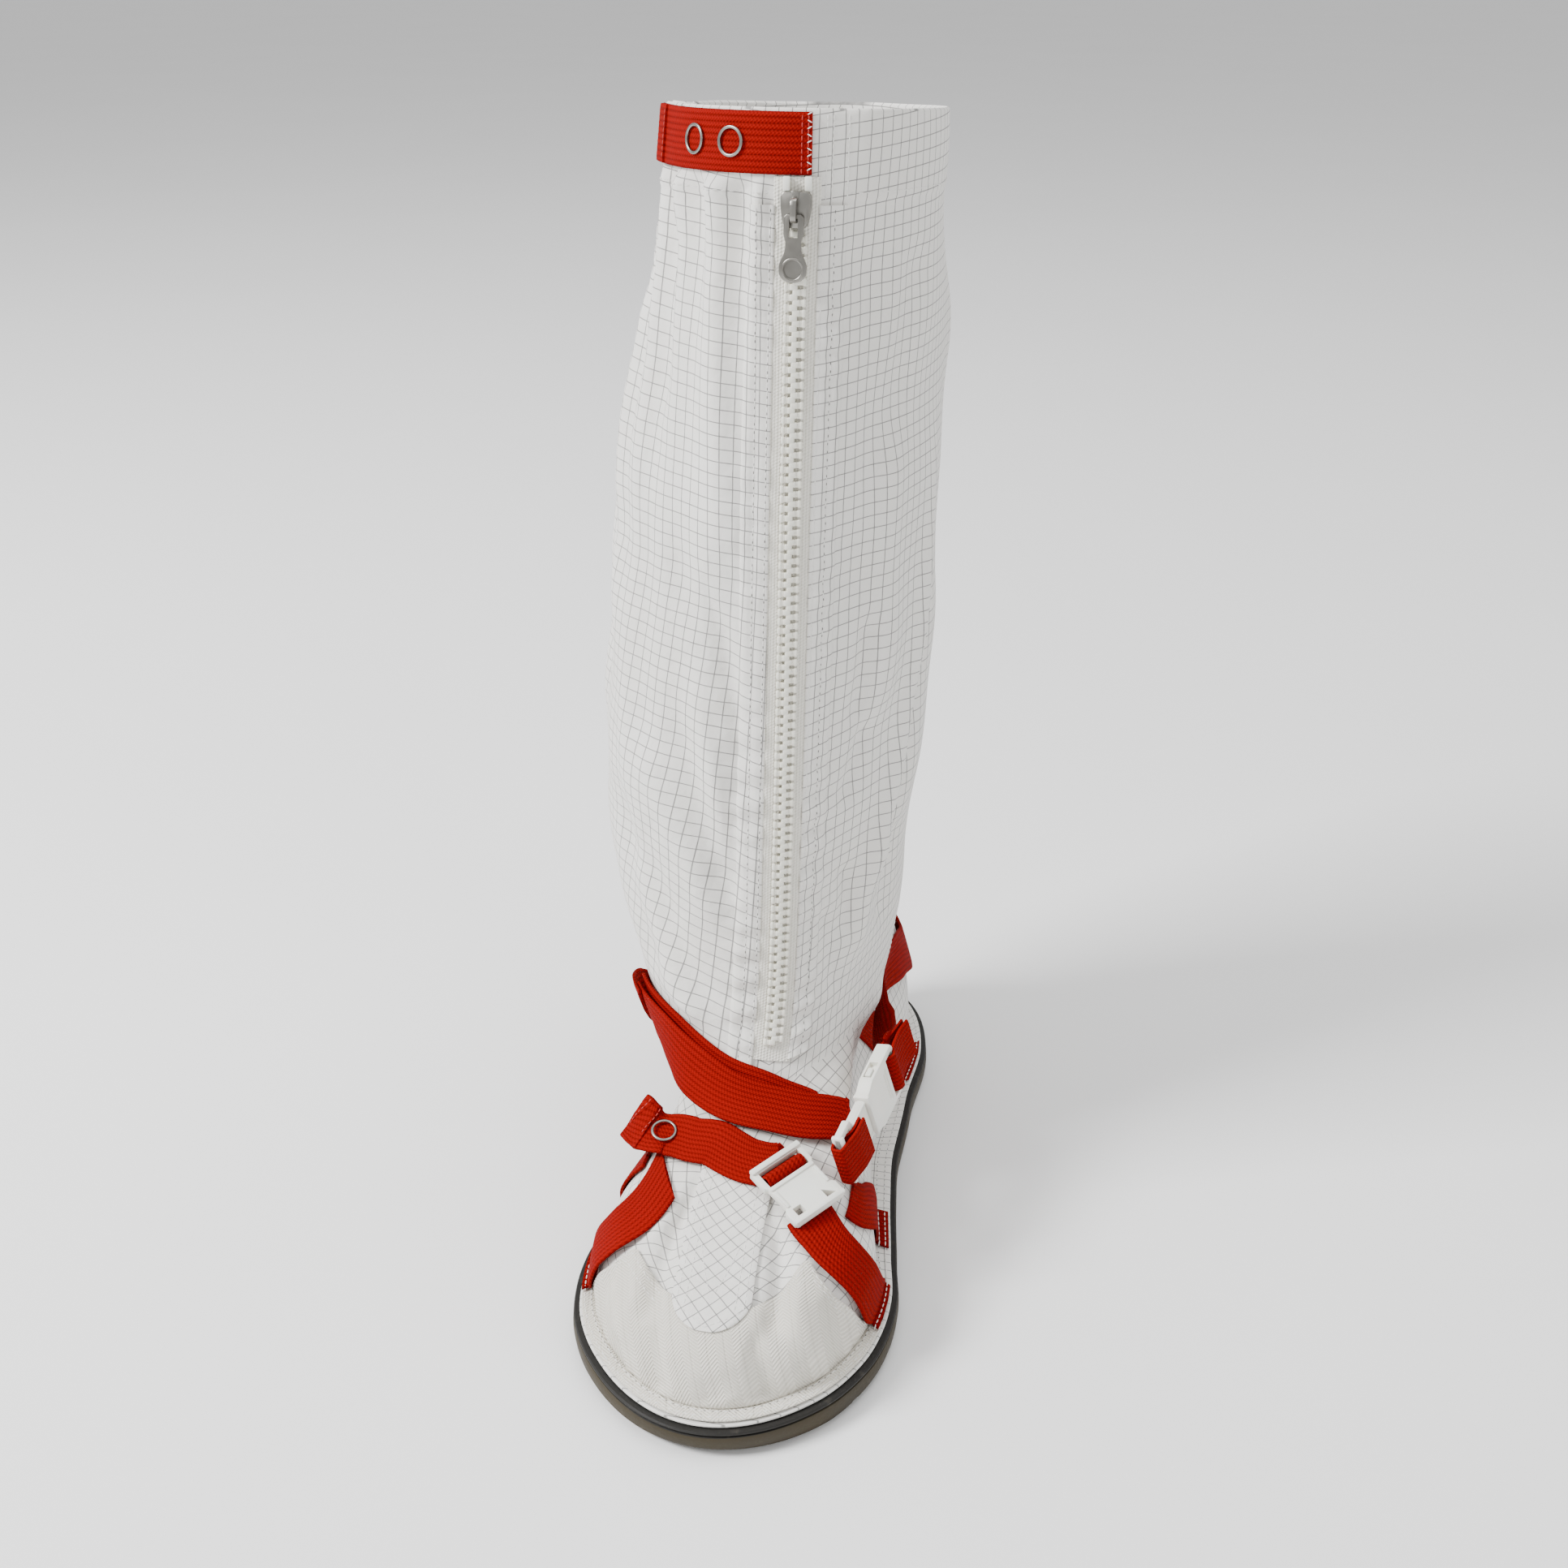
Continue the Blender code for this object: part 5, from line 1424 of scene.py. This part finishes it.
def ring_shape(radius, bead, centre_x=0.0, level=0.0, flat=1.0, steps=40):
    """Round bead turned into a ring."""
    mesh = bmesh.new()
    made = bmesh.ops.create_circle(mesh, segments=12, radius=bead)["verts"]
    bmesh.ops.rotate(mesh, verts=made, cent=(0, 0, 0), matrix=Matrix.Rotation(math.pi / 2, 3, "X"))
    bmesh.ops.translate(mesh, vec=(radius, 0, 0), verts=made)
    bmesh.ops.spin(mesh, geom=list(mesh.edges), cent=(0, 0, 0), axis=(0, 0, 1), angle=2 * math.pi,
                   steps=steps, use_merge=True)
    bmesh.ops.scale(mesh, vec=(1, 1, flat), verts=mesh.verts)
    bmesh.ops.translate(mesh, vec=(centre_x, 0, level), verts=mesh.verts)
    bmesh.ops.recalc_face_normals(mesh, faces=mesh.faces)
    return mesh


def pull_tab():
    frame = SLIDER_FRAME @ Matrix.Translation((PIN_ALONG, 0, SLIDER_FACE + PIN_OUT))
    curve = smooth_curve([row[0] for row in PULL_ROWS], [row[1] for row in PULL_ROWS])
    reach = np.concatenate([np.linspace(-0.75, 6, 8), np.linspace(7, 22.6, 22)])
    half = curve(reach)
    outline = [(-r, h) for r, h in zip(reach, half)] + [(-r, -h) for r, h in zip(reach[::-1], half[::-1])]
    tab = plate(outline, -0.7, 0.7, 0.25)
    window = block(-7.2, -1.6, -0.75, 1.6, -2, 2, 0.0)
    dimples = [round_shape(3.1, 0.35, 2.0, -18.0), round_shape(3.1, -2.0, -0.35, -18.0)]
    rims = [ring_shape(3.7, 0.45, -18.0, 0.6), ring_shape(3.7, 0.45, -18.0, -0.6)]
    return drilled("nickel_pull", tab, [window, *dimples], frame, NICKEL, "nickel", rims, body="pull",
                   instead=("zip_pull",))


pull_tab()


def zip_stop(name, side, node):
    v = ZIP_TOP - 0.05
    turn = math.degrees(float(angle_at(np.array([side * 3.6]), np.array([v]))[0]))
    seat = local_frame(turn, v, 1.6, Vector((0, 0, 1)))
    framed(block(-2.6, -1.3, 2.4, 1.3, -0.8, 2.3, 0.5), seat, name, IVORY, "ivory_plastic", instead=(node,))


zip_stop("plastic_stop_inner", 1, "zip_stop_inner")
zip_stop("plastic_stop_outer", -1, "zip_stop_outer")

for name, stops, turn, seat, node in (("open_ring_front", COLLAR, -18, 0.5, "collar_ring_front"),
                                      ("open_ring_side", COLLAR, -36, 0.5, "collar_ring_side"),
                                      ("open_ring_instep", INSTEP, -49, 1.1, "instep_ring")):
    ring = ring_shape(4.8, 0.6, level=0.1, flat=0.8)
    framed(ring, strap_frame(stops, turn, seat), name, NICKEL, "nickel", instead=(node,))


# Buckles
INSTEP_FRAME = local_frame(29, 5.85, 4.2, point_at(38, 5.1) - point_at(20, 6.45))
ANKLE_FRAME = free_frame(Vector((39.3, -31.0, 71.8)), Vector((-9.8, -55.0, -10.5)),
                         Vector((0.96, -0.12, 0.22)))


def instep_buckle():
    outline = mirrored([(-14.5, 11.6), (-13.9, 12.5), (-5.0, 12.5), (-3.6, 11.2), (7.0, 11.0), (8.8, 12.8),
                        (14.5, 12.8), (15.5, 11.6)])
    holes = [block(-11.8, -10.0, -4.0, 10.0, -2, 6, 0.0),
             plate([(8.6, 5.2), (12.8, 5.2), (12.8, 9.6)], -2, 6, 0.0),
             block(8.8, -9.5, 12.6, -5.5, -2, 6, 0.0)]
    extras = [block(-14.7, -12.4, -12.2, 12.4, 2.4, 4.6, 0.5), block(-3.6, -11.0, -2.0, 11.0, 2.6, 4.1, 0.4),
              block(13.4, -12.6, 15.4, 12.6, 2.2, 4.2, 0.5), block(-1.2, 9.4, 7.4, 10.9, 2.8, 4.0, 0.35),
              block(-1.2, -10.9, 7.4, -9.4, 2.8, 4.0, 0.35)]
    drilled("instep_buckle_plate", plate(outline, 0.0, 3.3, 0.55), holes, INSTEP_FRAME, IVORY,
            "ivory_plastic", extras, instead=("instep_buckle",))


def ankle_buckle():
    socket = mirrored([(-28.0, 10.6), (-26.9, 12.5), (-5.0, 12.5), (-3.4, 11.9), (0.0, 10.5), (3.0, 10.2)])
    holes = [block(-25.6, -10.0, -19.0, 10.0, -6, 6, 0.0), block(-15.5, 10.4, -6.5, 14.5, -1.9, 1.9, 0.0),
             block(-15.5, -14.5, -6.5, -10.4, -1.9, 1.9, 0.0)]
    extras = [block(-17.0, -8.0, -16.0, 8.0, 2.9, 3.6, 0.25), block(-15.0, -7.0, -14.2, 7.0, 2.9, 3.5, 0.25),
              block(-12.0, 10.6, -7.2, 12.9, -1.2, 1.2, 0.4),
              block(-12.0, -12.9, -7.2, -10.6, -1.2, 1.2, 0.4),
              block(1.2, -10.0, 3.1, 10.0, -3.5, 3.5, 0.5)]
    drilled("ankle_buckle_case", plate(socket, -3.2, 3.2, 0.8), holes, ANKLE_FRAME, IVORY, "ivory_plastic",
            extras, instead=("ankle_buckle_socket",))
    tongue = mirrored([(3.5, 9.0), (17.0, 9.0), (18.2, 12.0), (19.0, 12.5), (28.2, 12.5), (29.0, 11.7)])
    ribs = [block(4.0, 7.6, 18.0, 8.9, -2.2, 2.2, 0.4), block(4.0, -8.9, 18.0, -7.6, -2.2, 2.2, 0.4),
            block(27.0, -12.3, 29.0, 12.3, -2.6, 2.6, 0.6)]
    opening = [block(20.5, -10, 26, 10, -4, 4, 0.0)]
    drilled("ankle_buckle_tongue_plate", plate(tongue, -1.6, 1.6, 0.5), opening, ANKLE_FRAME, IVORY,
            "ivory_plastic", ribs, instead=("ankle_buckle_tongue",))


instep_buckle()
ankle_buckle()


def loop_web(name, frame, path, width=20.0, thick=1.3):
    """Web that turns through a buckle: its path lies in the buckle's X-Z plane."""
    at = np.linspace(0, len(path) - 1, 64)
    x, z = (smooth_curve(range(len(path)), column)(at) for column in zip(*path))
    line = np.stack([x, z], -1)
    ahead = unit(np.gradient(line, axis=0))
    side = np.stack([-ahead[:, 1], ahead[:, 0]], -1)
    along = length_along(line)
    columns = []
    cuts = []
    for across, level in WEB_PROFILE + WEB_PROFILE[:1]:
        off = line + side * ((level - 0.5) * thick)
        columns.append(np.stack([off[:, 0], np.full(len(at), across * width), off[:, 1]], -1))
        cuts.append(np.stack([along, np.full(len(at), across * width)], -1))
    mesh = fabric_grid(np.stack(columns, 1), np.stack(cuts, 1))
    close_up(mesh)
    return framed(mesh, frame, name, WEB, "webbing")


loop_web("instep_buckle_web", INSTEP_FRAME,
         [(-21, -2.6), (-15, -2.2), (-11, -0.4), (-9.4, 2.8), (-7.6, 4.3), (-5.6, 3.4), (-5.0, 0.8),
          (-7, -1.6), (-14, -3.8), (-21, -4.2)], width=19.0)
loop_web("ankle_socket_web", ANKLE_FRAME,
         [(-46, 3.0), (-38, 1.9), (-30, 2.4), (-25, 4.6), (-22.4, 3.2), (-21.6, 0.0), (-22.6, -3.4),
          (-26, -4.4), (-32, -2.2), (-40, -0.4), (-46, 0.6)], width=19.0)
loop_web("ankle_tongue_web", ANKLE_FRAME,
         [(13, 3.0), (18, 3.1), (22, 2.2), (24.6, 0.2), (26.8, -2.4), (31.4, -1.8), (32.0, 1.8), (27, 3.4),
          (20, 4.8), (13, 4.9)], width=19.0)

insole_mesh = frame["nodes"]["insole"].data
insole_mesh.materials.clear()
insole_mesh.materials.append(LINING)


# Floor, light and camera: each lamp's name, place and size in metres, and power in watts
LAMPS = [("key", (-1.7, -0.9, 1.9), 0.8, 112.0), ("fill", (1.9, -1.2, 1.3), 1.6, 12.0),
         ("top", (0.1, 0.3, 2.6), 1.8, 36.0)]


def studio():
    mesh = bmesh.new()
    bmesh.ops.create_grid(mesh, x_segments=1, y_segments=1, size=30.0)
    data = bpy.data.meshes.new("floor")
    mesh.to_mesh(data)
    mesh.free()
    data.materials.append(floor_look("pale_floor"))
    floor = bpy.data.objects.new("floor", data)
    bpy.context.scene.collection.objects.link(floor)
    aim = Vector((0.0, 0.0, 0.2))
    for name, place_at, size, power in LAMPS:
        lamp = bpy.data.lights.new(name, "AREA")
        lamp.energy = power
        lamp.size = size
        holder = bpy.data.objects.new(name, lamp)
        holder.location = place_at
        holder.rotation_mode = "QUATERNION"
        holder.rotation_quaternion = (aim - Vector(place_at)).to_track_quat("-Z", "Y")
        bpy.context.scene.collection.objects.link(holder)
    world = bpy.data.worlds.new("studio")
    world.use_nodes = True
    sky = world.node_tree.nodes["Background"]
    sky.inputs["Color"].default_value = (1.0, 1.0, 1.0, 1.0)
    sky.inputs["Strength"].default_value = 0.75
    bpy.context.scene.world = world


def camera():
    data = bpy.data.cameras.new("camera")
    data.lens = 41.0
    data.sensor_width = 36.0
    data.clip_start = 0.01
    data.clip_end = 100.0
    made = bpy.data.objects.new("camera", data)
    made.location = (0.1338 + BOX_SHIFT * MM, -0.6235, 0.5225)
    made.rotation_euler = (math.radians(63.4), 0.0, math.radians(12.4))
    bpy.context.scene.collection.objects.link(made)
    bpy.context.scene.camera = made


studio()
camera()
